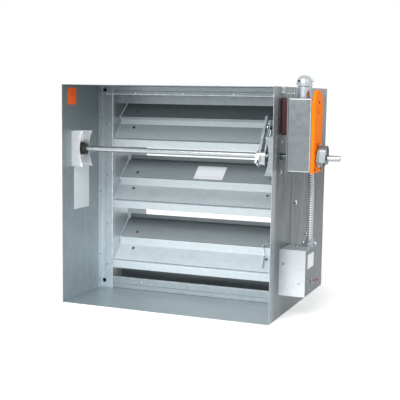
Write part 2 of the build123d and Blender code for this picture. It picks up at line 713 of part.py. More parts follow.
def actuator_outline(grow, arched):
    """Outline in (Y, Z): a tall rectangle, or one with a rounded top."""
    w = half_width + grow
    low = actuator_low - grow
    if not arched:
        mid = (low + actuator_high) / 2
        return fillet(Rectangle(2 * w, actuator_high - low).vertices(), 5).moved(Location((shaft_y, mid, 0)))
    shoulder = actuator_high - arch_drop
    arch = ThreePointArc((w, shoulder), (0, shoulder + w), (-w, shoulder))
    face = make_face([Line((-w, low), (w, low)), Line((w, low), (w, shoulder)), arch, Line((-w, shoulder), (-w, low))])
    return Pos(shaft_y, 0) * face


bore_face = Pos(shaft_y, shaft_height) * Circle(hub_radius + hub_clearance)
housing = along_x(actuator_outline(0, False) - bore_face, housing_x, cover_x)
write("actuator_housing", housing)
write("actuator_back_plate", along_x(actuator_outline(1.0, False) - bore_face, plate_x, housing_x))
cover = along_x(actuator_outline(0.5, True) - bore_face, cover_x, cover_face_x)
cover = chamfer(cover.faces().sort_by(Axis.X)[-1].outer_wire().edges(), 2.0)
window_z = actuator_high - 40
cover -= along_x(Pos(shaft_y, window_z) * SlotOverall(46, 16), cover_face_x - 1.5, cover_face_x)
cover += along_x(Pos(shaft_y, window_z) * Circle(6), cover_face_x - 1.5, cover_face_x + 0.5)
write("actuator_cover", cover)

# Hub, position disc, clamp yoke and toothed jaw on the shaft end
hub_flange = hub_radius + 9
ring_face = Circle(hub_radius) - Circle(shaft_radius)
flange_face = Circle(hub_flange) - Circle(shaft_radius)
pointer_x = cover_face_x + 4
actuator_hub = along_x(on_shaft(ring_face, 0), cover_x - 20, cover_face_x + 1)
actuator_hub += along_x(on_shaft(flange_face, 0), cover_face_x + 1, pointer_x)
write("actuator_hub", actuator_hub)
clamp_angle = 80.0
pointer_gauge = 2.0
pointer_disc = 31.0
pointer_face = make_hull((Circle(pointer_disc) + Pos(pointer_disc + 10, 0) * Circle(3)).edges())
position_pointer = along_x(on_shaft(pointer_face - Circle(shaft_radius), clamp_angle), pointer_x, pointer_x + pointer_gauge)
write("position_pointer", position_pointer)
yoke_x = pointer_x + pointer_gauge
yoke_width = 24.0
yoke_gauge = 3.5
yoke_inside = 19.0
yoke_rise = 17.0
yoke_base = shaft_radius + 8
rim = (3.0, 1.6)


def arch(half, low, rise):
    """Arch outline: straight sides from low to rise, and a half round over them."""
    bow = ThreePointArc((rise, half), (rise + half, 0), (rise, -half))
    return make_face([bow, Line((rise, -half), (low, -half)), Line((low, -half), (low, half)), Line((low, half), (rise, half))])


yoke_hole = arch(yoke_inside, -shaft_radius, yoke_rise)
yoke_face = arch(yoke_inside + yoke_gauge, -yoke_base, yoke_rise) - yoke_hole
rim_face = arch(yoke_inside + yoke_gauge + rim[1], -yoke_base, yoke_rise) - yoke_hole
yoke_end = yoke_x + yoke_width
clamp_yoke = along_x(on_shaft(yoke_face, clamp_angle), yoke_x, yoke_end)
for start in (yoke_x, yoke_end - rim[0]):
    clamp_yoke += along_x(on_shaft(rim_face, clamp_angle), start, start + rim[0])
stud_dy, stud_dz = polar(1.0, clamp_angle + 180)
side_dy, side_dz = polar(yoke_inside - 2.5, clamp_angle + 90)
for side in (-1, 1):
    stud_y = shaft_y + stud_dy * yoke_base + side * side_dy
    stud_z = shaft_height + stud_dz * yoke_base + side * side_dz
    seat = Plane(origin=(yoke_x + yoke_width / 2, stud_y, stud_z), x_dir=(1, 0, 0), z_dir=(0, stud_dy, stud_dz))
    clamp_yoke += extrude(seat * Circle(3.0), amount=12)
    clamp_yoke += extrude(seat * RegularPolygon(5.0, 6, major_radius=False), amount=5)
write("clamp_yoke", clamp_yoke)
jaw_half = 13.0
vee = shaft_radius * sqrt(2)
jaw_low = vee - jaw_half
jaw_top = sqrt(yoke_inside ** 2 - jaw_half ** 2) + yoke_rise
jaw_path = [(vee, 0), (jaw_low, jaw_half), (jaw_top, jaw_half), (yoke_rise + yoke_inside, 0), (jaw_top, -jaw_half),
            (jaw_low, -jaw_half)]
jaw_face = make_face(Polyline(*jaw_path, close=True))
clamp_jaw = along_x(on_shaft(jaw_face, clamp_angle), yoke_x + 3, yoke_end - 3)
write("clamp_jaw", clamp_jaw)

# Jackshaft, with a groove for a retaining ring outside the clamp
shaft_left = -(wall_in - bracket_gauge - 3)
shaft_right = wall_out + shaft_reach
jackshaft = rod_x(shaft_radius, shaft_left, shaft_right, shaft_y, shaft_height)
jackshaft = chamfer(jackshaft.faces().sort_by(Axis.X)[0].edges(), shaft_chamfer)
jackshaft = chamfer(jackshaft.faces().sort_by(Axis.X)[-1].edges(), shaft_chamfer)
groove_face = Circle(shaft_radius + 1) - Circle(shaft_radius - shaft_groove[1])
groove_x = yoke_end + 1.5
jackshaft -= along_x(on_shaft(groove_face, 0), groove_x, groove_x + shaft_groove[0])
write("jackshaft", jackshaft)

# Anti-rotation bracket: a leg on the wall and an arm that holds the actuator's top corner
arm_z = actuator_high + 12
arm_half = 20.0
arm_y = shaft_y - 4
arm_gauge = 2.0
wall_leg = 22.0
post_radius = 4.0
post_x = housing_x + post_radius + 1.5
arm_path = [(wall_out, arm_z + wall_leg), (wall_out, arm_z), (post_x + post_radius + 1, arm_z)]
arm_face = Plane(origin=(0, arm_y - arm_half, 0), x_dir=(1, 0, 0), z_dir=(0, -1, 0)) * sheet_section(arm_path, arm_gauge)
anti_rotation = extrude(arm_face, amount=2 * arm_half, dir=(0, 1, 0))
anti_rotation += rod_z(post_radius, actuator_high, arm_z + arm_gauge + 3, post_x, arm_y)
write("anti_rotation_bracket", anti_rotation)
leg_screws = [arm_y - arm_half / 2, arm_y + arm_half / 2]
write("anti_rotation_screws", *[hex_x(8, wall_out + arm_gauge, wall_out + arm_gauge + 3, y, arm_z + 13) for y in leg_screws])

# Elbow connector on the actuator, conduit, and straight connector on the control box
elbow_x = wall_out + connector_offset
elbow_z = actuator_high + elbow_rise
outlet_y = shaft_y + elbow_reach
elbow = rod_z(connector_radius + 2.5, actuator_high, actuator_high + 5, elbow_x, shaft_y)
elbow += rod_z(connector_radius, actuator_high + 5, actuator_high + 42, elbow_x, shaft_y)
elbow += Pos(elbow_x, shaft_y, actuator_high + dome[0]) * Sphere(dome[1])
elbow += rod_y(connector_radius - 3, shaft_y, outlet_y, elbow_x, elbow_z)
elbow += rod_x(3.2, elbow_x + 15, elbow_x + 29, shaft_y + 6, elbow_z + 2)
elbow += rod_x(5.0, elbow_x + 27, elbow_x + 30, shaft_y + 6, elbow_z + 2)
write("elbow_connector", elbow)
box_x = wall_out + box_size[0]
box_y = (front_edge + box_setback, front_edge + box_setback + box_size[1])
box_top = box_floor + box_size[2]
straight_x = wall_out + straight_offset
straight_y = box_y[1] - 29.0
straight_top = box_top + 28
conduit_drop = actuator_high + conduit_bow[-1][2] - straight_top
conduit_points = [
    (elbow_x, outlet_y, elbow_z),
    (elbow_x, outlet_y + conduit_lead, elbow_z),
    *((wall_out + x, front_edge + y, actuator_high + z) for x, y, z in conduit_bow),
    *((wall_out + x, front_edge + y, straight_top + share * conduit_drop) for share, x, y in conduit_fall),
    (straight_x, straight_y, straight_top),
]


def bend_radii(points):
    """Each bend's radius: 0.45 of the shorter run over the tangent of half the turn."""
    radii = []
    for before, at, after in zip(points, points[1:], points[2:]):
        run_in = Vector(*at) - Vector(*before)
        run_out = Vector(*after) - Vector(*at)
        half_turn = radians(run_in.get_angle(run_out)) / 2
        radii.append(0.45 * min(run_in.length, run_out.length) * cos(half_turn) / sin(half_turn))
    return radii


conduit_bends = bend_radii(conduit_points)
conduit_path = FilletPolyline(*conduit_points, radius=conduit_bends)
conduit_section = Plane(origin=conduit_points[0], z_dir=conduit_path % 0) * Circle(conduit_diameter / 2)
conduit = sweep(conduit_section, path=conduit_path)
print("conduit bends", [round(r) for r in conduit_bends], "length", round(conduit_path.length, 1))
print("volume over section times length", round(conduit.volume / (pi * (conduit_diameter / 2) ** 2 * conduit_path.length), 4))
write("conduit", conduit)
straight = rod_z(16, box_top, box_top + 4, straight_x, straight_y)
straight += rod_z(14, box_top + 4, straight_top, straight_x, straight_y)
for side in (-1, 1):
    lug_x = straight_x + side * 18
    straight += block(lug_x - 6, lug_x + 6, straight_y - 5, straight_y + 5, box_top + 5, box_top + 13)
    straight += rod_y(3.6, straight_y - 8, straight_y - 5, lug_x + side * 2, box_top + 9)
write("straight_connector", straight)

# Control box: folded body open at the front, cover plate, switch block and toggle
box_gauge = sleeve_gauge
body = block(wall_out, box_x, *box_y, box_floor, box_top)
body -= block(wall_out + box_gauge, box_x - box_gauge, box_y[0] - 1, box_y[1] - box_gauge,
              box_floor + box_gauge, box_top - box_gauge)
knockout = (wall_out + 45, box_y[0] + 70)
body -= rod_z(knockout_radius, box_floor - 1, box_floor + box_gauge + 1, *knockout)
toggle_y = box_y[0] + toggle_place[0]
toggle_z = box_floor + toggle_place[1]
bushing_radius = 5.9
body -= rod_x(bushing_radius, box_x - 2, box_x, toggle_y, toggle_z)
write("control_box_body", body)
cover_plate = block(wall_out + 0.4, box_x + 1, box_y[0] - box_gauge, box_y[0], box_floor - 1, box_top + 1)
cover_screw_places = [(wall_out + x, box_floor + z) for x, z in cover_screws]
cover_plate -= [rod_y(screw_radius, box_y[0] - 2, box_y[0], x, z) for x, z in cover_screw_places]
write("control_box_cover", cover_plate)
box_screws = []
for x, z in cover_screw_places:
    box_screw = rod_y(screw_radius - screw_gap, box_y[0] - box_gauge, box_y[0] + 6, x, z)
    box_screws.append(box_screw + rod_y(4.2, box_y[0] - box_gauge - 2.2, box_y[0] - box_gauge, x, z))
for y, z in side_screw_places:
    box_screws.append(rod_x(3.6, box_x, box_x + 2, box_y[0] + y, box_floor + z))
write("control_box_screws", *box_screws)
switch_low = (wall_out + box_gauge, box_y[0] + switch_place[0], box_floor + switch_place[1])
switch_high = [low + size for low, size in zip(switch_low, switch_size)]
switch_block = block(switch_low[0], switch_high[0], switch_low[1], switch_high[1], switch_low[2], switch_high[2])
terminal_pitch = switch_size[1] / terminal_count
for i in range(terminal_count):
    terminal_y = switch_low[1] + terminal_pitch * (i + 0.5)
    switch_block += rod_x(terminal_radius, switch_high[0], switch_high[0] + terminal_radius, terminal_y,
                          (switch_low[2] + switch_high[2]) / 2)
write("switch_block", switch_block)

# Toggle switch: threaded bushing with its nut, and a lever that tips about a pivot in the bushing
socket_radius = 4.2
bushing = rod_x(bushing_radius - screw_gap, box_x - box_gauge - 14, box_x + 9, toggle_y, toggle_z)
bushing += hex_x(16, box_x, box_x + 3, toggle_y, toggle_z)
bushing += rod_x(8, box_x - box_gauge - 14, box_x - box_gauge, toggle_y, toggle_z)
bushing -= rod_x(socket_radius, box_x - 2, box_x + 9, toggle_y, toggle_z)
write("toggle_bushing", bushing)
lever_tip = 19.0
lever_tilt = 12.0
lever_pivot = (box_x + 4.0, toggle_y, toggle_z)
ball_radius = socket_radius - 0.3
lever = Pos(lever_tip / 2, 0, 0) * Rot(0, 90, 0) * Cone(1.5, 2.4, lever_tip)
lever = Sphere(ball_radius) + lever
lever += Pos(lever_tip, 0, 0) * Sphere(2.4)
write("toggle_lever", Pos(*lever_pivot) * Rot(0, -lever_tilt, 0) * lever)
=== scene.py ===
import json
import math

import bmesh
import bpy
import numpy as np
from mathutils import Matrix, Vector


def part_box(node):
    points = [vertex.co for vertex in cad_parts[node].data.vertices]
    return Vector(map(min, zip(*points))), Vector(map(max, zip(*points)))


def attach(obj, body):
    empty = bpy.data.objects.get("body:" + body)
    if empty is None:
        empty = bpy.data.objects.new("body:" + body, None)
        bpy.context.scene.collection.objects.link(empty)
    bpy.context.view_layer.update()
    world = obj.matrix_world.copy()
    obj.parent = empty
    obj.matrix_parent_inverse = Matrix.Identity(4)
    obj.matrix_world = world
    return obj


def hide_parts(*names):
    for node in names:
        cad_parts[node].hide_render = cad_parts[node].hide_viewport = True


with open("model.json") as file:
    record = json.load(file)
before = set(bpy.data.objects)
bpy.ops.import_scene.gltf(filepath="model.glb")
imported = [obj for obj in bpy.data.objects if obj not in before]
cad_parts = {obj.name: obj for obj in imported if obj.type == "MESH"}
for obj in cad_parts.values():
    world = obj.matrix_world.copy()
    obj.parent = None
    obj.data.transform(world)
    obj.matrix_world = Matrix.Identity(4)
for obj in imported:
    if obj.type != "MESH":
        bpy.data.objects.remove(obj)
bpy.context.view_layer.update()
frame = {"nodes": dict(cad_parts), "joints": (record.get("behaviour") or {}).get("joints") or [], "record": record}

# Driving dimensions, in metres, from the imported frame
NODES = frame["nodes"]
WALL_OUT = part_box("sleeve_right_wall")[1][0]
LEFT_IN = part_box("sleeve_left_wall")[1][0]
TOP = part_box("sleeve_top_sheet")[1][2]
FRAME_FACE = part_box("frame_head")[0][1]
BOX_LOW, BOX_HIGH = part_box("control_box_body")
JOINTS = {j["name"]: j for j in frame["joints"]}
SHAFT_Y, SHAFT_Z = JOINTS["jackshaft_turn"]["pos_m"][1:]
LOWEST_AXIS_Z = JOINTS["blade_3_pivot"]["pos_m"][2]
AXLE_Y, MIDDLE_AXIS_Z = JOINTS["blade_2_pivot"]["pos_m"][1:]
BLADE_PITCH = MIDDLE_AXIS_Z - LOWEST_AXIS_Z

X_AXIS, Y_AXIS, Z_AXIS = (1, 0, 0), (0, 1, 0), (0, 0, 1)
FORWARD = (0, -1, 0)
FIXED_BODY = "damper_frame"


# Camera

LENS_PIXELS = 887.7
PHOTO_PIXELS = 400
CAMERA_PLACE = (1.1986, -3.0123, 0.7315)
CAMERA_YAW = math.radians(-21.7)
CAMERA_PITCH = math.radians(-6.75)
CAMERA_ROLL = math.radians(0.85)
SENSOR = 36.0
CLIP_NEAR, CLIP_FAR = 0.05, 60.0


def set_camera():
    """Camera at the photograph's viewpoint: yaw from +Y, then pitch, then roll about the view line."""
    data = bpy.data.cameras.new("camera")
    data.sensor_fit = "HORIZONTAL"
    data.sensor_width = SENSOR
    data.lens = SENSOR * LENS_PIXELS / PHOTO_PIXELS
    data.clip_start, data.clip_end = CLIP_NEAR, CLIP_FAR
    camera = bpy.data.objects.new("camera", data)
    bpy.context.scene.collection.objects.link(camera)
    flat = math.cos(CAMERA_PITCH)
    ahead = Vector((math.sin(CAMERA_YAW) * flat, math.cos(CAMERA_YAW) * flat, math.sin(CAMERA_PITCH)))
    level = Vector((math.cos(CAMERA_YAW), -math.sin(CAMERA_YAW), 0.0))
    upward = level.cross(ahead)
    side = level * math.cos(CAMERA_ROLL) + upward * math.sin(CAMERA_ROLL)
    upward = side.cross(ahead)
    turn = Matrix((side, upward, -ahead)).transposed()
    camera.matrix_world = Matrix.Translation(CAMERA_PLACE) @ turn.to_4x4()
    bpy.context.scene.camera = camera


# Node tools

FLOAT = "NodeSocketFloat"
VECTOR = "NodeSocketVector"


def new_material(name):
    """Material with a bare Principled surface; returns the material, its node tree and the shader."""
    material = bpy.data.materials.new(name)
    material.use_nodes = True
    tree = material.node_tree
    tree.nodes.clear()
    output = tree.nodes.new("ShaderNodeOutputMaterial")
    shader = tree.nodes.new("ShaderNodeBsdfPrincipled")
    tree.links.new(shader.outputs["BSDF"], output.inputs["Surface"])
    return material, tree, shader


def feed(tree, value, socket):
    """Link a socket to an input, or set the input to a plain value."""
    if isinstance(value, bpy.types.NodeSocket):
        tree.links.new(value, socket)
    else:
        socket.default_value = value


def fill(tree, inputs, **values):
    """Feed inputs by name, with an underscore for each space."""
    for key, value in values.items():
        feed(tree, value, inputs[key.replace("_", " ")])


def node(tree, kind, links=None, **settings):
    """Add a node, set its properties, and feed its inputs."""
    made = tree.nodes.new(kind)
    for key, value in settings.items():
        setattr(made, key, value)
    for key, value in (links or {}).items():
        feed(tree, value, made.inputs[key])
    return made


def math_node(tree, operation, first, second=0.0, clamp=False):
    """One arithmetic step; returns its output socket."""
    made = node(tree, "ShaderNodeMath", {0: first, 1: second}, operation=operation, use_clamp=clamp)
    return made.outputs[0]


def times(tree, first, second, clamp=False):
    """Product of two values."""
    return math_node(tree, "MULTIPLY", first, second, clamp)


def plus(tree, first, second, clamp=False):
    """Sum of two values."""
    return math_node(tree, "ADD", first, second, clamp)


def vector_node(tree, operation, first, second):
    """One step on vectors; returns its output socket."""
    return node(tree, "ShaderNodeVectorMath", {0: first, 1: second}, operation=operation).outputs[0]


def mapped(tree, source, span, result=(0.0, 1.0)):
    """Linear change from one range to another, held inside the new range."""
    links = {"Value": source, "From Min": span[0], "From Max": span[1],
             "To Min": result[0], "To Max": result[1]}
    return node(tree, "ShaderNodeMapRange", links, clamp=True).outputs["Result"]


def noise(tree, place, scale, detail, distortion=0.0, output="Fac"):
    """Noise texture read at a place."""
    links = {"Vector": place, "Scale": scale, "Detail": detail, "Distortion": distortion}
    return node(tree, "ShaderNodeTexNoise", links).outputs[output]


def along_axis(tree, place, axis):
    """One coordinate of a place."""
    return node(tree, "ShaderNodeSeparateXYZ", {"Vector": place}).outputs[axis]


def object_place(tree):
    """Object coordinates."""
    return node(tree, "ShaderNodeTexCoord").outputs["Object"]


def opaque(colour):
    """A colour with full alpha."""
    return (*colour, 1.0)


def dimmed(colour, share):
    """A colour times a share."""
    return tuple(c * share for c in colour)


def blend_colour(tree, amount, first, second):
    """Mix of two colours by a mask."""
    made = node(tree, "ShaderNodeMix", data_type="RGBA")
    for key, value in (("Factor", amount), ("A", first), ("B", second)):
        feed(tree, value, [s for s in made.inputs if s.name == key and s.enabled][0])
    return [s for s in made.outputs if s.enabled][0]


def group(name, inputs, outputs):
    """Empty shader node group with named sockets; inputs map names to (socket type, default value)."""
    tree = bpy.data.node_groups.new(name, "ShaderNodeTree")
    for key, (kind, value) in inputs.items():
        socket = tree.interface.new_socket(name=key, in_out="INPUT", socket_type=kind)
        if value is not None:
            socket.default_value = value
    for key, kind in outputs.items():
        tree.interface.new_socket(name=key, in_out="OUTPUT", socket_type=kind)
    entry = tree.nodes.new("NodeGroupInput")
    leave = tree.nodes.new("NodeGroupOutput")
    return tree, entry.outputs, leave.inputs


def use_group(tree, shared, **values):
    """Place a shared effect in a material, with its own values; returns its outputs."""
    made = tree.nodes.new("ShaderNodeGroup")
    made.node_tree = shared
    fill(tree, made.inputs, **values)
    return made.outputs


def bump(tree, shader, height, distance, strength):
    """Bump from a height into the shader's normal."""
    made = node(tree, "ShaderNodeBump", {"Height": height, "Distance": distance, "Strength": strength})
    fill(tree, shader.inputs, Normal=made.outputs["Normal"])


# Shared effects

CRYSTAL_WARP = 0.004
CRYSTAL_SHARE, FEATHER_SHARE = 0.75, 0.25
CRYSTAL_HEIGHT = 0.5
SCRATCH_WIDTH = 0.0025


def make_spangle():
    """Zinc spangle: flat crystals from Voronoi cells, each with its own tone, and faint feathering."""
    tree, given, result = group("spangle", {"Place": (VECTOR, None), "Crystal Size": (FLOAT, 0.012)},
                                {"Tone": FLOAT, "Height": FLOAT})
    density = math_node(tree, "DIVIDE", 1.0, given["Crystal Size"])
    warp = noise(tree, given["Place"], scale=60.0, detail=2.0, output="Color")
    place = vector_node(tree, "ADD", given["Place"], vector_node(tree, "MULTIPLY", warp, (CRYSTAL_WARP,) * 3))
    cells = node(tree, "ShaderNodeTexVoronoi", {"Vector": place, "Scale": density, "Randomness": 1.0})
    tone = node(tree, "ShaderNodeSeparateColor", {"Color": cells.outputs["Color"]}).outputs["Red"]
    feather = noise(tree, place, scale=420.0, detail=3.0)
    mixed = plus(tree, times(tree, tone, CRYSTAL_SHARE), times(tree, feather, FEATHER_SHARE))
    fill(tree, result, Tone=mixed, Height=times(tree, mixed, CRYSTAL_HEIGHT))
    return tree


def make_rolling():
    """Rolling streaks: noise drawn out along one axis by the Stretch vector, in fine and coarse bands."""
    inputs = {"Place": (VECTOR, None), "Stretch": (VECTOR, (1.0, 1.0, 1.0))}
    tree, given, result = group("rolling_streaks", inputs, {"Fine": FLOAT, "Coarse": FLOAT})
    place = vector_node(tree, "MULTIPLY", given["Place"], given["Stretch"])
    fine, coarse = noise(tree, place, scale=900.0, detail=2.0), noise(tree, place, scale=60.0, detail=3.0)
    fill(tree, result, Fine=fine, Coarse=coarse)
    return tree


def make_handling():
    """Handling marks: soft smudges and a few fine scratches, as masks from 0 to 1."""
    tree, given, result = group("handling_marks", {"Place": (VECTOR, None), "Amount": (FLOAT, 0.5)},
                                {"Smudge": FLOAT, "Scratch": FLOAT})
    cloud = noise(tree, given["Place"], scale=7.0, detail=4.0, distortion=0.8)
    smudge = times(tree, mapped(tree, cloud, (0.42, 0.70)), given["Amount"])
    lines = noise(tree, given["Place"], scale=14.0, detail=1.0, distortion=3.5)
    near = math_node(tree, "ABSOLUTE", math_node(tree, "SUBTRACT", lines, 0.5))
    scratch = times(tree, mapped(tree, near, (0.0, SCRATCH_WIDTH), (1.0, 0.0)), given["Amount"])
    fill(tree, result, Smudge=smudge, Scratch=scratch)
    return tree


SPANGLE = make_spangle()
ROLLING = make_rolling()
HANDLING = make_handling()


# Painted shade, as masks by the place on the piece

# Their places and strengths were fitted to the tones of the photograph, and they are painted shade and painted
# reflections. Each line gives two places in metres, and the strength of the painted shade at each of them. The
# cloud's first pair is the noise's own range.
OUTER_STRIP = ((-0.312, -0.290), (0.0, 1.0))
OUTER_LOW = ((0.05, 0.45), (0.36, 0.76))
OUTER_MIDDLE = ((0.52, 0.62), (1.0, 0.55))
OUTER_HIGH = ((0.725, 0.745), (1.0, 0.30))
OUTER_CLOUD = ((0.30, 0.65), (0.72, 1.10))
FACET_START = ((0.0150, 0.0190), (0.0, 0.50))
FACET_CLIMB = ((0.0190, 0.0700), (0.0, 0.30))
TOP_BLADE = ((0.628, 0.640), (0.0, 0.60))
BLADE_RISE = ((0.12, 0.36), (0.0, 0.30))


def outer_wall_film(tree, place):
    """Painted shade and painted reflection on the outside wall behind its front strip: strongest below the
    actuator, weaker above and below.
    """
    height = along_axis(tree, place, "Z")
    behind = mapped(tree, along_axis(tree, place, "Y"), *OUTER_STRIP)
    low, middle, high = (mapped(tree, height, *part) for part in (OUTER_LOW, OUTER_MIDDLE, OUTER_HIGH))
    share = times(tree, times(tree, behind, low), times(tree, middle, high))
    cloud = noise(tree, vector_node(tree, "MULTIPLY", place, (1.0, 1.0, 0.25)), scale=26.0, detail=4.0)
    return times(tree, share, mapped(tree, cloud, *OUTER_CLOUD), clamp=True)


def blade_film(tree, place):
    """Painted shade on each blade's upper facet and on the top blade's head, and a weaker one growing from the
    lowest blade up.
    """
    height = along_axis(tree, place, "Z")
    turns = math_node(tree, "DIVIDE", math_node(tree, "SUBTRACT", height, LOWEST_AXIS_Z), BLADE_PITCH)
    above = times(tree, math_node(tree, "SUBTRACT", turns, math_node(tree, "ROUND", turns)), BLADE_PITCH)
    facet = plus(tree, mapped(tree, above, *FACET_START), mapped(tree, above, *FACET_CLIMB), clamp=True)
    film = math_node(tree, "MAXIMUM", facet, mapped(tree, height, *TOP_BLADE))
    return math_node(tree, "MAXIMUM", film, mapped(tree, height, *BLADE_RISE))


def film_along(axis, span, strength):
    """Painted shade that changes along one axis, between two places and from one strength to another."""
    def mask(tree, place):
        """The painted shade's strength at a place."""
        return mapped(tree, along_axis(tree, place, axis), span, strength)
    return mask


# Painted shade: darker towards the top on the left wall and the frame, darker behind the blades on the bottom
# sheet, darker towards the top of the box cover, and darker on the box's sides than on its top face
upper_painted_shade = film_along("Z", (0.15, 0.76), (0.0, 0.68))
floor_painted_shade = film_along("Y", (-0.03, 0.03), (0.0, 0.40))
cover_painted_shade = film_along("Z", (0.09, 0.235), (0.0, 0.38))
box_side_painted_shade = film_along("Z", (BOX_HIGH[2] - 0.0008, BOX_HIGH[2] - 0.0003), (0.66, 0.0))


# Materials

SPANGLE_PART, STREAK_PART = 0.45, 0.55
SCRATCH_PART = 0.35
SCRATCH_COLOUR = (0.80, 0.82, 0.83)
# Under full painted shade, the colour goes down to this share of its dark tone
PAINTED_SHADE_DEPTH = 0.20
DULL_PLATING = 0.78
SURFACE_RELIEF = 0.00003


def sheet_steel(name, dark, light, rough=(0.34, 0.44), metal=0.55, crystal=0.012, stretch=(1.0, 1.0, 1.0),
                marks=0.4, film=None, tint=1.0):
    """Galvanised sheet: spangle and rolling streaks between two colours, with smudges in the roughness.

    The painted shade argument makes a mask from the place, by which the colour goes down to a share of dark. tint
    dims grazing reflections."""
    material, tree, shader = new_material(name)
    place = object_place(tree)
    spangle = use_group(tree, SPANGLE, Place=place, Crystal_Size=crystal)
    rolling = use_group(tree, ROLLING, Place=place, Stretch=stretch)
    handling = use_group(tree, HANDLING, Place=place, Amount=marks)
    tone = plus(tree, times(tree, spangle["Tone"], SPANGLE_PART), times(tree, rolling["Coarse"], STREAK_PART))
    colour = blend_colour(tree, mapped(tree, tone, (0.25, 0.75)), opaque(dark), opaque(light))
    worn = times(tree, handling["Scratch"], SCRATCH_PART)
    colour = blend_colour(tree, worn, colour, opaque(SCRATCH_COLOUR))
    # Painted shade: the colour goes down towards a share of dark by the mask
    if film:
        colour = blend_colour(tree, film(tree, place), colour, opaque(dimmed(dark, PAINTED_SHADE_DEPTH)))
    smudge = times(tree, handling["Smudge"], 0.12)
    spread = plus(tree, mapped(tree, spangle["Tone"], (0.1, 0.9), rough), smudge, clamp=True)
    fill(tree, shader.inputs, Base_Color=colour, Roughness=spread, Metallic=metal)
    fill(tree, shader.inputs, Specular_Tint=opaque((tint,) * 3))
    height = plus(tree, spangle["Height"], times(tree, rolling["Fine"], 0.3))
    bump(tree, shader, height, SURFACE_RELIEF, 0.35)
    return material


def plated(name, colour, rough=0.25, metal=0.9, lathe=0.0):
    """Zinc-plated or bare metal: faint uneven plating in tone and roughness; lathe deepens the relief."""
    material, tree, shader = new_material(name)
    place = object_place(tree)
    rolling = use_group(tree, ROLLING, Place=place, Stretch=(1.0, 1.0, 1.0))
    handling = use_group(tree, HANDLING, Place=place, Amount=0.5)
    mixed = blend_colour(tree, rolling["Coarse"], opaque(dimmed(colour, DULL_PLATING)), opaque(colour))
    uneven = mapped(tree, rolling["Coarse"], (0.3, 0.7), (rough * 0.8, rough * 1.25))
    spread = plus(tree, uneven, times(tree, handling["Smudge"], 0.1), clamp=True)
    fill(tree, shader.inputs, Base_Color=mixed, Roughness=spread, Metallic=metal)
    bump(tree, shader, rolling["Fine"], SURFACE_RELIEF + lathe, 0.6)
    return material


def strip_wound(name, colour, groove_shade, rough=0.28, metal=0.45):
    """Wound zinc strip: bright on the ridges, with painted shade in the grooves, after the mesh's own groove
    values.
    """
    material, tree, shader = new_material(name)
    handling = use_group(tree, HANDLING, Place=object_place(tree), Amount=0.5)
    deep = node(tree, "ShaderNodeAttribute", attribute_name="groove_shade").outputs["Fac"]
    mixed = blend_colour(tree, mapped(tree, deep, (0.25, 0.75)), opaque(colour), opaque(groove_shade))
    spread = mapped(tree, handling["Smudge"], (0.0, 0.5), (rough, rough + 0.15))
    fill(tree, shader.inputs, Base_Color=mixed, Roughness=spread, Metallic=metal)
    return material


def moulded(name, colour, rough=0.38, grain=0.00008, gloss=0.5):
    """Moulded plastic or rubber: fine grain, with smudges in the tone and the roughness."""
    material, tree, shader = new_material(name)
    place = object_place(tree)
    grains = noise(tree, place, scale=1400.0, detail=2.0)
    handling = use_group(tree, HANDLING, Place=place, Amount=0.6)
    lighter = tuple(min(1.0, c * 1.12 + 0.01) for c in colour)
    mixed = blend_colour(tree, handling["Smudge"], opaque(colour), opaque(lighter))
    spread = mapped(tree, handling["Smudge"], (0.0, 0.6), (rough, rough + 0.15))
    fill(tree, shader.inputs, Base_Color=mixed, Roughness=spread, Specular_IOR_Level=gloss)
    bump(tree, shader, grains, grain, 0.6)
    return material


def printed(name, colour, ink, rows, rough=0.5):
    """Blank paper or film with smudges and a faint ruled tint; rows are its lines in a metre."""
    material, tree, shader = new_material(name)
    place = object_place(tree)
    handling = use_group(tree, HANDLING, Place=place, Amount=0.5)
    wave = math_node(tree, "SINE", times(tree, along_axis(tree, place, "Z"), rows * 2.0 * math.pi))
    ruled = blend_colour(tree, mapped(tree, wave, (0.2, 0.8), (0.0, 0.35)), opaque(colour), opaque(ink))
    dirty = times(tree, handling["Smudge"], 0.3)
    mixed = blend_colour(tree, dirty, ruled, opaque(dimmed(colour, 0.7)))
    spread = mapped(tree, handling["Smudge"], (0.0, 0.5), (rough, rough + 0.2))
    fill(tree, shader.inputs, Base_Color=mixed, Roughness=spread)
    return material


# Finishes, as linear colours: one for each of the record's slots, and a few of their own for single pieces

UPRIGHT = (1.0, 1.0, 0.05)
LENGTHWAYS = (0.04, 1.0, 1.0)
ALONG_FRAME = (0.06, 1.0, 0.06)

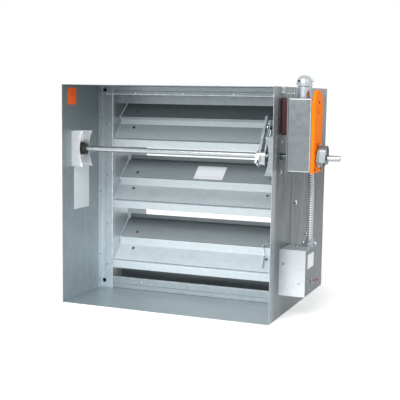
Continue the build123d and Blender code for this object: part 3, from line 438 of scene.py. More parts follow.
SHEETS = {
    "galvanised_sheet": dict(dark=(0.41, 0.48, 0.51), light=(0.51, 0.585, 0.615), rough=(0.50, 0.58),
                             metal=0.58, stretch=UPRIGHT, film=upper_painted_shade),
    # The top sheet in a lighter copy of the sheet steel: painted light on its shaded underside
    "ceiling_steel": dict(dark=(0.58, 0.64, 0.67), light=(0.65, 0.71, 0.74), stretch=LENGTHWAYS),
    "floor_steel": dict(dark=(0.32, 0.385, 0.41), light=(0.41, 0.48, 0.51), metal=0.62, stretch=LENGTHWAYS,
                        film=floor_painted_shade),
    "sill_steel": dict(dark=(0.36, 0.41, 0.44), light=(0.44, 0.49, 0.52), stretch=LENGTHWAYS),
    "wall_outside": dict(dark=(0.40, 0.44, 0.465), light=(0.48, 0.52, 0.545), rough=(0.26, 0.36), metal=0.60,
                         stretch=UPRIGHT, marks=0.6, film=outer_wall_film, tint=0.30),
    "frame_steel": dict(dark=(0.62, 0.69, 0.73), light=(0.71, 0.78, 0.82), rough=(0.32, 0.42), metal=0.60,
                        stretch=ALONG_FRAME, film=upper_painted_shade),
    # The head, its stop and the right shaft bracket in a darker copy of the frame steel: painted shade
    "head_steel": dict(dark=(0.25, 0.29, 0.31), light=(0.32, 0.36, 0.38), metal=0.70, stretch=LENGTHWAYS),
    "blade_steel": dict(dark=(0.62, 0.70, 0.735), light=(0.69, 0.77, 0.80), rough=(0.40, 0.48), metal=0.45,
                        stretch=LENGTHWAYS, film=blade_film),
    "box_steel": dict(dark=(0.42, 0.47, 0.50), light=(0.50, 0.55, 0.58), crystal=0.009, metal=0.40,
                      film=box_side_painted_shade, tint=0.3),
    "cover_steel": dict(dark=(0.64, 0.68, 0.71), light=(0.71, 0.75, 0.78), rough=(0.30, 0.38), metal=0.50,
                        crystal=0.009, film=cover_painted_shade),
}
PLATED = {
    "zinc_hardware": dict(colour=(0.54, 0.57, 0.585), rough=0.22, metal=1.0),
    "bright_bracket": dict(colour=(0.92, 0.94, 0.95), rough=0.12, metal=0.60),
    "shaft_steel": dict(colour=(0.48, 0.52, 0.54), rough=0.20, metal=0.95, lathe=0.00002),
    "dark_steel": dict(colour=(0.06, 0.063, 0.067), rough=0.35, metal=0.8),
    "bush_bronze": dict(colour=(0.42, 0.30, 0.16), rough=0.40),
    "actuator_shell": dict(colour=(0.20, 0.225, 0.235), rough=0.36, metal=0.6),
    "cast_zinc": dict(colour=(0.56, 0.61, 0.65), rough=0.26, metal=0.85),
    "fitting_zinc": dict(colour=(0.36, 0.39, 0.41), rough=0.30, metal=0.6),
    # Near-white finish for painted highlights
    "bare_edge": dict(colour=(0.86, 0.89, 0.91), rough=0.25, metal=0.3),
    # Dark finish for the painted shade in the blades' bends
    "bend_dirt": dict(colour=(0.10, 0.12, 0.13), rough=0.5, metal=0.3),
    "dark_zinc": dict(colour=(0.22, 0.25, 0.265), rough=0.34, metal=0.8),
}
MOULDED = {
    "seal_rubber": dict(colour=(0.012, 0.012, 0.013), rough=0.6),
    "orange_plastic": dict(colour=(0.87, 0.19, 0.003), rough=0.60, gloss=0.08),
    # Orange plastic darkened to maroon: painted shade
    "maroon_plastic": dict(colour=(0.055, 0.013, 0.017), rough=0.45, gloss=0.3),
    "grey_plastic": dict(colour=(0.45, 0.45, 0.45), rough=0.4),
    "black_plastic": dict(colour=(0.01, 0.01, 0.01), rough=0.45),
    "red_plastic": dict(colour=(0.35, 0.012, 0.012), rough=0.3),
    "dark_red": dict(colour=(0.45, 0.03, 0.01), rough=0.4),
}
PRINTED = {
    "orange_film": dict(colour=(1.00, 0.13, 0.006), ink=(0.88, 0.10, 0.004), rows=60.0, rough=0.45),
    "white_film": dict(colour=(0.80, 0.83, 0.85), ink=(0.62, 0.65, 0.68), rows=95.0),
    "grey_film": dict(colour=(0.84, 0.90, 0.93), ink=(0.68, 0.74, 0.78), rows=120.0),
}
# The groove colour is painted shade in the conduit's grooves
WOUND = {"flexible_conduit": dict(colour=(0.48, 0.515, 0.54), groove_shade=(0.11, 0.125, 0.13))}


def finishes():
    """The materials of all the tables, by name."""
    made = {}
    makers = ((sheet_steel, SHEETS), (plated, PLATED), (moulded, MOULDED), (printed, PRINTED),
              (strip_wound, WOUND))
    for make, table in makers:
        for name, values in table.items():
            made[name] = make(name, **values)
    return made


FINISH = finishes()
OWN_FINISH = {
    "sleeve_right_wall": "wall_outside",
    "frame_head": "head_steel",
    "frame_sill": "sill_steel",
    "sleeve_top_sheet": "ceiling_steel",
    "sleeve_bottom_sheet": "floor_steel",
    "shaft_bracket_right": "head_steel",
    "clamp_jaw": "dark_zinc",
    "clamp_yoke": "dark_zinc",
    # The sill stop in dark zinc: painted shade in the gap under the lowest blade
    "sill_stop": "dark_zinc",
    "head_stop": "head_steel",
    "actuator_back_plate": "actuator_shell",
    "straight_connector": "dark_zinc",
    "control_box_cover": "cover_steel",
}
SLOTS = {row["node"]: row["material_slot"] for row in frame["record"]["subparts"]}
BODIES = frame["record"]["behaviour"]["bodies"]
BODY_OF = {name: body for body, names in BODIES.items() for name in names}


def finish_of(name):
    """The material of a CAD node."""
    return FINISH[OWN_FINISH.get(name, SLOTS[name])]


def dress_cad_nodes():
    """Give every CAD node its finish."""
    for name, piece in NODES.items():
        piece.data.materials.clear()
        piece.data.materials.append(finish_of(name))


# Pieces: a mesh in the scene, on its body

MERGE = 1e-6


def new_piece(name, mesh, material, smooth):
    """Put a mesh in the scene with its finish; edges sharper than smooth degrees stay sharp."""
    mesh.materials.clear()
    mesh.materials.append(material)
    if smooth:
        mesh.polygons.foreach_set("use_smooth", np.ones(len(mesh.polygons), dtype=bool))
        mesh.set_sharp_from_angle(angle=math.radians(smooth))
    piece = bpy.data.objects.new(name, mesh)
    bpy.context.scene.collection.objects.link(piece)
    return piece


def seat(piece, body, replaces=()):
    """Put a finished piece on its body and the CAD nodes it takes the place of."""
    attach(piece, body)
    if replaces:
        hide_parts(*replaces)
    return piece


def grid_faces(rows, cols, first):
    """Corner numbers of the quads of a grid whose columns close on themselves."""
    i, j = np.meshgrid(np.arange(rows - 1), np.arange(cols), indexing="ij")
    j2 = (j + 1) % cols
    corners = [i * cols + j, (i + 1) * cols + j, (i + 1) * cols + j2, i * cols + j2]
    return first + np.stack(corners, axis=-1).reshape(-1, 4)


def add_piece(name, patches, slot, finish=None, body=FIXED_BODY, replaces=(), smooth=35.0):
    """Join grids of points (rows, columns, 3) into one mesh, merge its seams, and put it on a body."""
    places, faces, count = [], [], 0
    for points in patches:
        rows, cols = points.shape[:2]
        faces.append(grid_faces(rows, cols, count))
        places.append(points.reshape(-1, 3))
        count += rows * cols
    mesh = bpy.data.meshes.new(name)
    mesh.from_pydata(np.concatenate(places).tolist(), [], np.concatenate(faces).tolist())
    work = bmesh.new()
    work.from_mesh(mesh)
    bmesh.ops.remove_doubles(work, verts=work.verts, dist=MERGE)
    bmesh.ops.dissolve_degenerate(work, edges=work.edges, dist=MERGE / 10)
    bmesh.ops.recalc_face_normals(work, faces=work.faces)
    work.to_mesh(mesh)
    work.free()
    return seat(new_piece(name, mesh, FINISH[finish or slot], smooth), body, replaces)


# Edges rounded as pressed, cast and moulded pieces have them

SHARP_ANGLE = 32.0
EDGES = {
    "actuator_housing": 0.0030,
    "actuator_back_plate": 0.0010,
    "actuator_cover": 0.0012,
    "anti_rotation_bracket": 0.0006,
    "shaft_bracket_left": 0.0007,
    "shaft_bracket_right": 0.0007,
    "control_box_body": 0.0006,
    "control_box_cover": 0.0005,
    "crank_arm": 0.0006,
    "crank_saddle": 0.0015,
    "clamp_yoke": 0.0006,
    "clamp_jaw": 0.0008,
    "position_pointer": 0.0005,
    "drive_link": 0.0007,
    "drive_bracket": 0.0006,
    "tie_bar": 0.0007,
}


def soften_nodes():
    """Round the edges of heavy, cast and moulded pieces: a merged copy, flat faces joined, with a Bevel."""
    for name, width in EDGES.items():
        mesh = NODES[name].data.copy()
        mesh.name = name + "_edged"
        work = bmesh.new()
        work.from_mesh(mesh)
        bmesh.ops.remove_doubles(work, verts=work.verts, dist=MERGE)
        bmesh.ops.dissolve_limit(work, angle_limit=math.radians(1.0), verts=work.verts, edges=work.edges)
        work.to_mesh(mesh)
        work.free()
        piece = new_piece(name + "_edged", mesh, finish_of(name), SHARP_ANGLE)
        rounding = piece.modifiers.new("edges", "BEVEL")
        rounding.width = width
        rounding.segments = 2
        rounding.limit_method = "ANGLE"
        rounding.angle_limit = math.radians(SHARP_ANGLE)
        rounding.harden_normals = True
        seat(piece, BODY_OF[name], [name])


# Surfaces worked out on grids

def frame_on(axis):
    """Three unit directions: two across the axis, and the axis itself."""
    axis = np.asarray(axis, dtype=float)
    axis = axis / np.linalg.norm(axis)
    other = np.array((0.0, 0.0, 1.0)) if abs(axis[2]) < 0.9 else np.array((1.0, 0.0, 0.0))
    first = np.cross(other, axis)
    first /= np.linalg.norm(first)
    return first, np.cross(axis, first), axis


def turned(profile, origin, axis, sides):
    """Turned surface: a profile of (radius, height) pairs carried round an axis through origin.

    Point = origin + height * axis + radius * (cos t * first + sin t * second)."""
    first, second, ahead = frame_on(axis)
    profile = np.asarray(profile, dtype=float)
    t = np.linspace(0.0, 2.0 * np.pi, sides, endpoint=False)
    ring = np.cos(t)[:, None] * first + np.sin(t)[:, None] * second
    return np.asarray(origin) + profile[:, 1, None, None] * ahead + profile[:, 0, None, None] * ring[None]


def plate(origin, right, up, width, height, thick, corner=0.002, edge=0.0002, steps=6):
    """Plate with rounded corners standing on origin along right x up: its outline is a rounded rectangle.

    Its profile rises at the rim, leans in by edge, and closes over the top. Both ends close at the centre."""
    right = np.asarray(right, dtype=float)
    up = np.asarray(up, dtype=float)
    normal = np.cross(right, up)
    quarter = np.arange(4 * steps) // steps
    t = quarter * (np.pi / 2) + (np.arange(4 * steps) % steps) / (steps - 1) * (np.pi / 2)
    core = np.stack([np.array((1, -1, -1, 1))[quarter], np.array((1, 1, -1, -1))[quarter]], axis=1)
    half = np.array((width / 2 - corner, height / 2 - corner))
    rim = core * half + corner * np.stack([np.cos(t), np.sin(t)], axis=1)
    lean = 1.0 - edge / np.array((width / 2, height / 2))
    rows = [(rim * 0.0, 0.0), (rim, 0.0), (rim, thick - edge), (rim * lean, thick), (rim * 0.0, thick)]
    return np.stack([np.asarray(origin) + outline[:, :1] * right + outline[:, 1:] * up + lift * normal
                     for outline, lift in rows])


def carried(route, radii, sides):
    """Tube along a route of points: at each one a ring of radius radii[row, side] across the route.

    The ring's directions are turned along with the route, so that they don't twist."""
    route = np.asarray(route, dtype=float)
    ahead = np.gradient(route, axis=0)
    ahead /= np.linalg.norm(ahead, axis=1)[:, None]
    across = np.cross(ahead, (1.0, 0.0, 0.0))
    across /= np.linalg.norm(across, axis=1)[:, None]
    third = np.cross(ahead, across)
    t = np.linspace(0.0, 2.0 * np.pi, sides, endpoint=False)
    ring = np.cos(t)[None, :, None] * across[:, None] + np.sin(t)[None, :, None] * third[:, None]
    return route[:, None] + ring * radii[..., None]


def rivet(place, axis, radius, rise):
    """Low domed head: quarter-ellipse profile standing on a surface."""
    t = np.linspace(0.0, np.pi / 2, 6)
    return turned(np.stack([radius * np.cos(t), rise * np.sin(t)], axis=1), place, axis, 20)


# Flexible conduit: spiral strip along its route

CONDUIT_RADIUS = 0.010
CONDUIT_PITCH = 0.0080
CORE_PART, RIDGE_PART = 0.80, 0.20
RIDGE_ROUNDNESS = 0.6
STEPS_PER_TURN = 8
CONDUIT_SIDES = 28
CONDUIT_POINTS = [
    (0.4485, -0.2145, 0.7810), (0.4485, -0.1820, 0.7810), (0.4410, -0.1520, 0.7660),
    (0.4360, -0.1360, 0.7350), (0.4345, -0.1310, 0.6950), (0.4380, -0.1310, 0.6250),
    (0.4450, -0.1320, 0.5500), (0.4500, -0.1335, 0.4750), (0.4540, -0.1345, 0.4000),
    (0.4530, -0.1350, 0.3300), (0.4530, -0.1350, 0.2600),
]


def smooth_route(points, step):
    """The points of a NURBS line with those control points, spaced evenly by step, and their way along it."""
    curve = bpy.data.curves.new("route", "CURVE")
    curve.dimensions = "3D"
    spline = curve.splines.new("NURBS")
    spline.points.add(len(points) - 1)
    spline.points.foreach_set("co", np.array([(*p, 1.0) for p in points]).ravel())
    spline.order_u = 3
    spline.use_endpoint_u = True
    spline.resolution_u = 24
    holder = bpy.data.objects.new("route", curve)
    mesh = bpy.data.meshes.new_from_object(holder)
    line = np.array([v.co[:] for v in mesh.vertices])
    bpy.data.objects.remove(holder)
    bpy.data.curves.remove(curve)
    bpy.data.meshes.remove(mesh)
    length = np.concatenate([[0.0], np.cumsum(np.linalg.norm(np.diff(line, axis=0), axis=1))])
    at = np.linspace(0.0, length[-1], int(length[-1] / step) + 1)
    return np.stack([np.interp(at, length, line[:, k]) for k in range(3)], axis=1), at


def make_conduit():
    """Spiral conduit: radius = core + ridge * rounded hump of the turn number, which climbs one pitch a turn.

    The hump is |cos| of half the phase to the power of the roundness: ridges are round and grooves narrow."""
    line, at = smooth_route(CONDUIT_POINTS, CONDUIT_PITCH / STEPS_PER_TURN)
    round_tube = np.linspace(0.0, 2.0 * np.pi, CONDUIT_SIDES, endpoint=False)
    phase = 2.0 * np.pi * at[:, None] / CONDUIT_PITCH - round_tube[None]
    hump = np.abs(np.cos(phase / 2)) ** RIDGE_ROUNDNESS
    tube = carried(line, CONDUIT_RADIUS * (CORE_PART + RIDGE_PART * hump), CONDUIT_SIDES)
    caps = [np.concatenate([np.repeat(end[None], CONDUIT_SIDES, axis=1), ring[None]])
            for end, ring in ((line[:1], tube[0]), (line[-1:], tube[-1]))]
    piece = add_piece("conduit_spiral", [tube, *caps], "flexible_conduit", replaces=["conduit"])
    places = np.array([v.co[:] for v in piece.data.vertices])
    nearest = np.array([np.argmin(((line - p) ** 2).sum(axis=1)) for p in places])
    reach = np.linalg.norm(places - line[nearest], axis=1)
    # Depth in the grooves at each point: the mask for their painted shade
    depth = np.clip(1.0 - (reach / CONDUIT_RADIUS - CORE_PART) / RIDGE_PART, 0.0, 1.0)
    piece.data.attributes.new("groove_shade", "FLOAT", "POINT").data.foreach_set("value", depth)


# Elbow connector: neck, collar, squat dome with its cover slot, outlet and screw lug

# Profiles here and below are (radius, height) pairs in metres
ELBOW_X, OUTLET_END_Y, OUTLET_Z = CONDUIT_POINTS[0]
ELBOW_Y = SHAFT_Y
ELBOW_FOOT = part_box("elbow_connector")[0][2]
NECK = ((0.0, 0.0), (0.022, 0.0), (0.022, 0.0045), (0.0195, 0.0055), (0.0192, 0.034), (0.0212, 0.036),
        (0.0212, 0.040), (0.0, 0.041))
DOME = dict(radius=0.0245, low=0.0395, side=0.050, high=0.0714)
COLLAR = ((0.0245, 0.0445), (0.0253, 0.0455), (0.0253, 0.0475), (0.0245, 0.0485))
OUTLET_RADIUS, OUTLET_LIP = 0.0165, 0.0172
LUG = ((0.0, 0.014), (0.0055, 0.014), (0.0055, 0.0262), (0.0045, 0.0272), (0.0, 0.0272))
LUG_SCREW = ((0.0, 0.0268), (0.0046, 0.0268), (0.0046, 0.0290), (0.0036, 0.0300), (0.0, 0.0300))
LUG_PLACE = (ELBOW_X, ELBOW_Y + 0.006, OUTLET_Z + 0.002)
COVER_SLOT_PLACE = (ELBOW_X - 0.0105, ELBOW_Y - 0.0205, ELBOW_FOOT + 0.0530)
COVER_SLOT_RIGHT = (0.90, -0.436, 0.0)
# Width, height, thickness, corner
COVER_SLOT_SIZE = (0.0085, 0.0060, 0.0030, 0.0015)


def dome_profile(radius, low, side, high, steps=10):
    """Upright wall to side, and a quarter ellipse over it up to high."""
    t = np.linspace(0.0, np.pi / 2, steps)
    arc = np.stack([radius * np.cos(t), side + (high - side) * np.sin(t)], axis=1)
    return np.concatenate([[(0.0, low), (radius, low)], arc])


def make_elbow():
    """Die-cast pull elbow, built from turned shapes and a lug."""
    base = (ELBOW_X, ELBOW_Y, ELBOW_FOOT)
    upright = [turned(profile, base, Z_AXIS, 48) for profile in (NECK, dome_profile(**DOME), COLLAR)]
    reach = OUTLET_END_Y - ELBOW_Y
    outlet_profile = ((0.0, 0.0), (OUTLET_RADIUS, 0.0), (OUTLET_RADIUS, reach - 0.004),
                      (OUTLET_LIP, reach - 0.0035), (OUTLET_LIP, reach - 0.0005), (OUTLET_RADIUS, reach),
                      (0.0, reach))
    outlet = turned(outlet_profile, (ELBOW_X, ELBOW_Y, OUTLET_Z), Y_AXIS, 40)
    lug = turned(LUG, LUG_PLACE, X_AXIS, 24)
    casting = [*upright, outlet, lug]
    add_piece("elbow_casting", casting, "cast_zinc", replaces=["elbow_connector"], smooth=40.0)
    add_piece("elbow_screw", [turned(LUG_SCREW, LUG_PLACE, X_AXIS, 24)], "zinc_hardware")
    slot = plate(COVER_SLOT_PLACE, COVER_SLOT_RIGHT, Z_AXIS, *COVER_SLOT_SIZE)
    add_piece("elbow_cover_slot", [slot], "black_plastic")


# Straight connector on the control box, with two ears and their screws

STRAIGHT_X, STRAIGHT_Y = CONDUIT_POINTS[-1][:2]
STRAIGHT_LOW, STRAIGHT_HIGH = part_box("straight_connector")[0][2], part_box("straight_connector")[1][2]
FITTING_FOOT = ((0.0, 0.0), (0.0205, 0.0), (0.0205, 0.0035), (0.0185, 0.0050), (0.0180, 0.0150),
                (0.0150, 0.0185), (0.0128, 0.0200))
EAR = ((0.0, 0.0), (0.0058, 0.0), (0.0058, 0.0070), (0.0050, 0.0080), (0.0, 0.0080))
EAR_OUT, EAR_FORWARD = 0.0195, 0.004
EAR_RISE, EAR_SCREW_RISE = 0.0050, 0.0128
EAR_SCREW = (0.0046, 0.0030)


def ear_places(rise):
    """The places of the two ears at a height above the fitting's foot."""
    return [(STRAIGHT_X + side * EAR_OUT, STRAIGHT_Y - EAR_FORWARD, STRAIGHT_LOW + rise) for side in (-1, 1)]


def make_straight_fitting():
    """Wide two-screw fitting on the control box: turned body, two ears and their screws."""
    rise = STRAIGHT_HIGH - STRAIGHT_LOW
    profile = (*FITTING_FOOT, (0.0122, rise - 0.001), (0.0112, rise), (0.0, rise))
    body = turned(profile, (STRAIGHT_X, STRAIGHT_Y, STRAIGHT_LOW), Z_AXIS, 44)
    ears = [turned(EAR, place, Z_AXIS, 20) for place in ear_places(EAR_RISE)]
    add_piece("straight_fitting", [body, *ears], "cast_zinc", "fitting_zinc", replaces=["straight_connector"])
    screws = [rivet(place, Z_AXIS, *EAR_SCREW) for place in ear_places(EAR_SCREW_RISE)]
    add_piece("straight_fitting_screws", screws, "zinc_hardware", "bright_bracket")


# Cap behind the actuator, and fixings outside the walls

CAP_BACK, CAP_UP = 0.004, 0.129
CAP_WIDTH, CAP_HEIGHT = 0.074, 0.118
CAP_GAP = 0.006
CAP_CORNER, CAP_EDGE = 0.008, 0.002
# Each bolt is (Y, Z, radius)
WALL_BOLTS = ((-0.0590, 0.3670, 0.0090), (0.0870, 0.2380, 0.0055))
BOLT_RISE = 0.0040
BRACKET_SCREWS = [(SHAFT_Y - 0.0130, SHAFT_Z + rise) for rise in (0.0495, -0.0495)]
WASHER = ((0.0, 0.0), (0.0072, 0.0), (0.0072, 0.0010), (0.0, 0.0010))
NUT = ((0.0, 0.0010), (0.0055, 0.0010), (0.0055, 0.0046), (0.0046, 0.0052), (0.0, 0.0052))


def make_rear_cap():
    """Moulded cap behind the actuator, in the gap to the wall, over the upper part of the housing. Its orange is
    darkened to maroon as painted shade.
    """
    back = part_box("actuator_back_plate")[0][0]
    patch = plate((back, SHAFT_Y + CAP_BACK, SHAFT_Z + CAP_UP), FORWARD, Z_AXIS, CAP_WIDTH, CAP_HEIGHT,
                  back - WALL_OUT - CAP_GAP, CAP_CORNER, CAP_EDGE)
    add_piece("actuator_rear_cap", [patch], "orange_plastic", "maroon_plastic")


def make_nuts():
    """Washers and hexagon nuts on the bracket screws, and bolt heads, outside both walls.

    The photograph shows the right wall alone; the left one is taken to be the same."""
    nuts, bolts = [], []
    for side in (-1, 1):
        out = (side, 0, 0)
        for y, z in BRACKET_SCREWS:
            nuts.append(turned(WASHER, (side * WALL_OUT, y, z), out, 28))
            nuts.append(turned(NUT, (side * WALL_OUT, y, z), out, 6))
        bolts += [rivet((side * WALL_OUT, y, z), out, radius, BOLT_RISE) for y, z, radius in WALL_BOLTS]
    add_piece("bracket_nuts", nuts, "zinc_hardware", smooth=20.0)
    # The bolt heads take the near-white painted highlight finish
    add_piece("wall_bolt_heads", bolts, "zinc_hardware", "bare_edge")


# Labels, tags and film, all blank

LABEL_THICK = 0.0003
LABEL_CORNER = 0.001
# Pieces on the inside of the left wall: Y from and to, Z from and to, thickness, corner, slot, finish
WALL_PLATES = {
    "wall_sticker": ((-0.304, -0.2455), (0.692, 0.750), LABEL_THICK, 0.002, "orange_plastic", "orange_film"),
    "wall_tag": ((-0.2625, -0.153), (0.320, 0.472), LABEL_THICK, 0.003, "grey_plastic", "grey_film"),
    "wall_clip": ((-0.151, -0.104), (0.318, 0.344), 0.0010, 0.001, "zinc_hardware", "galvanised_sheet"),
}
DOT = ((0.0, 0.0), (0.0034, 0.0), (0.0034, 0.0006), (0.0, 0.0008))
DOT_Y, DOT_Z = -0.2770, 0.7310
BLADE_LABEL_X, BLADE_LABEL_UP = 0.0255, 0.045
BLADE_LABEL_SIZE = (0.1135, 0.069)
BOX_LABEL_Y, BOX_LABEL_Z = -0.1725, 0.1905
BOX_LABEL_SIZE = (0.077, 0.048)

# A blade's section at rest: its tilt, the axle on it, and the foot and head of its front facets, each as
# (way along the chord, height above the base line)
BLADE_TILT = math.radians(51.05)
AXLE_CHORD, AXLE_RISE = 0.1150, 0.0054
UPPER_FACET = ((0.1228, 0.0225), (0.2136, 0.0023))
NOSE_FACET = ((0.0280, 0.0116), (0.1008, 0.0050))


def on_blade(chord, height, axis_z):
    """A place on a blade at rest: along its chord and above its base line, as (Y, Z)."""
    s, n = chord - AXLE_CHORD, height - AXLE_RISE
    turn = BLADE_TILT
    return AXLE_Y + s * math.cos(turn) - n * math.sin(turn), axis_z + s * math.sin(turn) + n * math.cos(turn)


def facet_line(facet, axis_z):
    """The foot of a blade's facet and the direction up it, each as (Y, Z)."""
    foot, head = (np.array(on_blade(*end, axis_z)) for end in facet)
    return foot, (head - foot) / np.linalg.norm(head - foot)


def make_labels():
    """Sticker, tag and clip on the left wall, and labels on the middle blade and the control box."""
    for name, (y, z, thick, corner, slot, finish) in WALL_PLATES.items():
        centre = (LEFT_IN, sum(y) / 2, sum(z) / 2)
        patch = plate(centre, Y_AXIS, Z_AXIS, y[1] - y[0], z[1] - z[0], thick, corner)
        add_piece(name, [patch], slot, finish)
    add_piece("sticker_dot", [turned(DOT, (LEFT_IN, DOT_Y, DOT_Z), X_AXIS, 20)], "red_plastic", "dark_red")
    foot, climb = facet_line(UPPER_FACET, MIDDLE_AXIS_Z)
    centre = (BLADE_LABEL_X, *(foot + climb * BLADE_LABEL_UP))
    patch = plate(centre, X_AXIS, (0.0, *climb), *BLADE_LABEL_SIZE, LABEL_THICK, LABEL_CORNER)
    add_piece("blade_label", [patch], "grey_plastic", "white_film", body="blade_2")
    centre = (BOX_HIGH[0], BOX_LABEL_Y, BOX_LABEL_Z)
    patch = plate(centre, Y_AXIS, Z_AXIS, *BOX_LABEL_SIZE, LABEL_THICK, LABEL_CORNER)
    add_piece("box_label", [patch], "grey_plastic", "white_film")


# Lines on the sheets: painted shade in the blades' bends, painted highlights on folds and rims

THIN = 0.0002
CREASE_WIDTH = 0.0020
CREASE_MARGIN = 0.004
FINE_CORNER, RIM_CORNER, FOLD_CORNER = 0.0005, 0.0006, 0.0008
EDGE_WIDTH = 0.0028
HEAD_EDGE_Z = 0.7300
JAMB_EDGE_X = 0.3310
HEAD_EDGE_EXTRA = 0.06
JAMB_MARGIN = 0.05
RIM_MARGIN = 0.008
# Each rim of the housing is (way in from its edge, width)
FOOT_RIM, HEAD_RIM, SIDE_RIM = (0.0040, 0.0016), (0.0045, EDGE_WIDTH), (0.0038, 0.0012)


def make_creases():
    """Painted shade as a dark line in the two bends on the front of each blade: over the nose and over the ridge.
    """
    for name in ("blade_1", "blade_2", "blade_3"):
        low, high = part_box(name + "_skin")
        lines = []
        for facet in (NOSE_FACET, UPPER_FACET):
            foot, climb = facet_line(facet, JOINTS[name + "_pivot"]["pos_m"][2])
            centre = foot + climb * CREASE_WIDTH / 2
            lines.append(plate(((low[0] + high[0]) / 2, *centre), X_AXIS, (0, *climb),
                               high[0] - low[0] - CREASE_MARGIN, CREASE_WIDTH, THIN, FINE_CORNER))
        add_piece(name + "_creases", lines, "seal_rubber", "bend_dirt", body=name)


def make_bright_edges():
    """Painted highlights as near-white strips at folds: on the housing's rims, along the head and down both jambs.
    """
    low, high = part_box("actuator_housing")
    middle_x, middle_z = (low[0] + high[0]) / 2, (low[2] + high[2]) / 2
    across, down = high[0] - low[0] - RIM_MARGIN, high[2] - low[2] - RIM_MARGIN
    rims = [plate((middle_x, low[1], z), X_AXIS, Z_AXIS, across, width, THIN, RIM_CORNER)
            for z, width in ((low[2] + FOOT_RIM[0], FOOT_RIM[1]), (high[2] - HEAD_RIM[0], HEAD_RIM[1]))]
    side = (high[0] - SIDE_RIM[0], low[1], middle_z)
    rims.append(plate(side, X_AXIS, Z_AXIS, SIDE_RIM[1], down, THIN, FINE_CORNER))
    add_piece("housing_bright_rims", rims, "actuator_shell", "bare_edge")
    wide = 2 * JAMB_EDGE_X + HEAD_EDGE_EXTRA
    folds = [plate((0.0, FRAME_FACE, HEAD_EDGE_Z), X_AXIS, Z_AXIS, wide, EDGE_WIDTH, THIN, FOLD_CORNER)]
    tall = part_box("jamb_left")[1][2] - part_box("jamb_left")[0][2] - JAMB_MARGIN
    for x in (-JAMB_EDGE_X, JAMB_EDGE_X):
        folds.append(plate((x, FRAME_FACE, TOP / 2), X_AXIS, Z_AXIS, EDGE_WIDTH, tall, THIN, FOLD_CORNER))
    add_piece("frame_bright_folds", folds, "frame_steel", "bare_edge")


# Small marks of the sheet work

# Clinches are (X, Z), wall marks (Y, Z), and their sizes (radius, rise)
CLINCHES = ((-0.050, 0.7355), (0.144, 0.7355), (-0.240, 0.7355), (0.290, 0.7355),
            (-0.210, 0.0250), (-0.019, 0.0315), (0.170, 0.0280))
CLINCH_SIZE = (0.0042, 0.0010)
POST_CLINCHES = (0.619, 0.430, 0.247, 0.090)
POST_CLINCH_SIZE = (0.0040, 0.0010)
POST_IN = 0.028
WALL_MARKS = ((-0.292, 0.011), (-0.160, 0.010))
WALL_MARK_SIZE = (0.0035, 0.0006)
SEAM_Y = -0.1180
SEAM_WIDTH, SEAM_THICK = 0.015, 0.0009
SEAM_OVERLAP = 0.03
JOINT_WIDTH, JOINT_THICK = 0.0022, 0.0004
SEAM_CORNER = 0.0004


def make_marks():
    """Clinch joints in the frame sheets, weld dimples on the left wall, and the right wall's lap seam."""
    heads = [rivet((x, FRAME_FACE, z), FORWARD, *CLINCH_SIZE) for x, z in CLINCHES]
    for x in (LEFT_IN + POST_IN, -LEFT_IN - POST_IN):
        heads += [rivet((x, FRAME_FACE, z), FORWARD, *POST_CLINCH_SIZE) for z in POST_CLINCHES]
    add_piece("frame_clinches", heads, "zinc_hardware")
    welds = [rivet((LEFT_IN, y, z), X_AXIS, *WALL_MARK_SIZE) for y, z in WALL_MARKS]
    add_piece("wall_weld_marks", welds, "galvanised_sheet")
    low, high = BOX_HIGH[2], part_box("actuator_housing")[0][2] + SEAM_OVERLAP
    middle, tall = (low + high) / 2, high - low
    lap = (WALL_OUT, SEAM_Y + SEAM_WIDTH / 2, middle)
    seam = plate(lap, Y_AXIS, Z_AXIS, SEAM_WIDTH, tall, SEAM_THICK, SEAM_CORNER)
    add_piece("wall_lap_seam", [seam], "galvanised_sheet", "wall_outside")
    joint = plate((WALL_OUT, SEAM_Y, middle), Y_AXIS, Z_AXIS, JOINT_WIDTH, tall, JOINT_THICK, SEAM_CORNER)
    add_piece("wall_seam_joint", [joint], "seal_rubber", "dark_zinc")


# Orange cover: dial ticks and plain numbers round the hub, vent marks at its sides, and screws

COVER_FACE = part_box("actuator_cover")[1][0]
DIAL_RADIUS = 0.0370
TICKS = 19
FIRST_TICK, TICK_STEP = 20, 7.5
TICKS_PER_NUMBER = 6
LONG_TICK, SHORT_TICK = 0.006, 0.0035
TICK_WIDTH = 0.0010
# Thickness, corner, edge, and points in each corner
TICK_SHAPE = (0.0005, 0.0003, 0.0001, 3)
# Each number of the dial is (number, angle in degrees, distance from the hub)
DIAL_NUMBERS = ((0, 20, 0.0440), (30, 65, 0.0478), (60, 110, 0.0478), (90, 155, 0.0440))
FIGURE_SIZE, FIGURE_RISE = 0.0085, 0.0005
FIGURE_LIFT = 0.0003
# Each vent mark is (side, way up from the hub)
VENT_MARKS = ((-1, 0.105), (1, 0.100), (-1, 0.072), (1, 0.060), (-1, 0.046), (1, 0.120), (-1, -0.010),
              (-1, -0.025))
VENT_OUT = 0.0405
VENT_SIZE = (0.0026, 0.0050, 0.0006, 0.001)
COVER_SCREWS = ((-0.036, -0.036), (0.036, -0.036), (0.000, 0.176))
COVER_SCREW = ((0.0, 0.0), (0.0042, 0.0), (0.0042, 0.0012), (0.0034, 0.0020), (0.0016, 0.0020),
               (0.0012, 0.0008), (0.0, 0.0008))


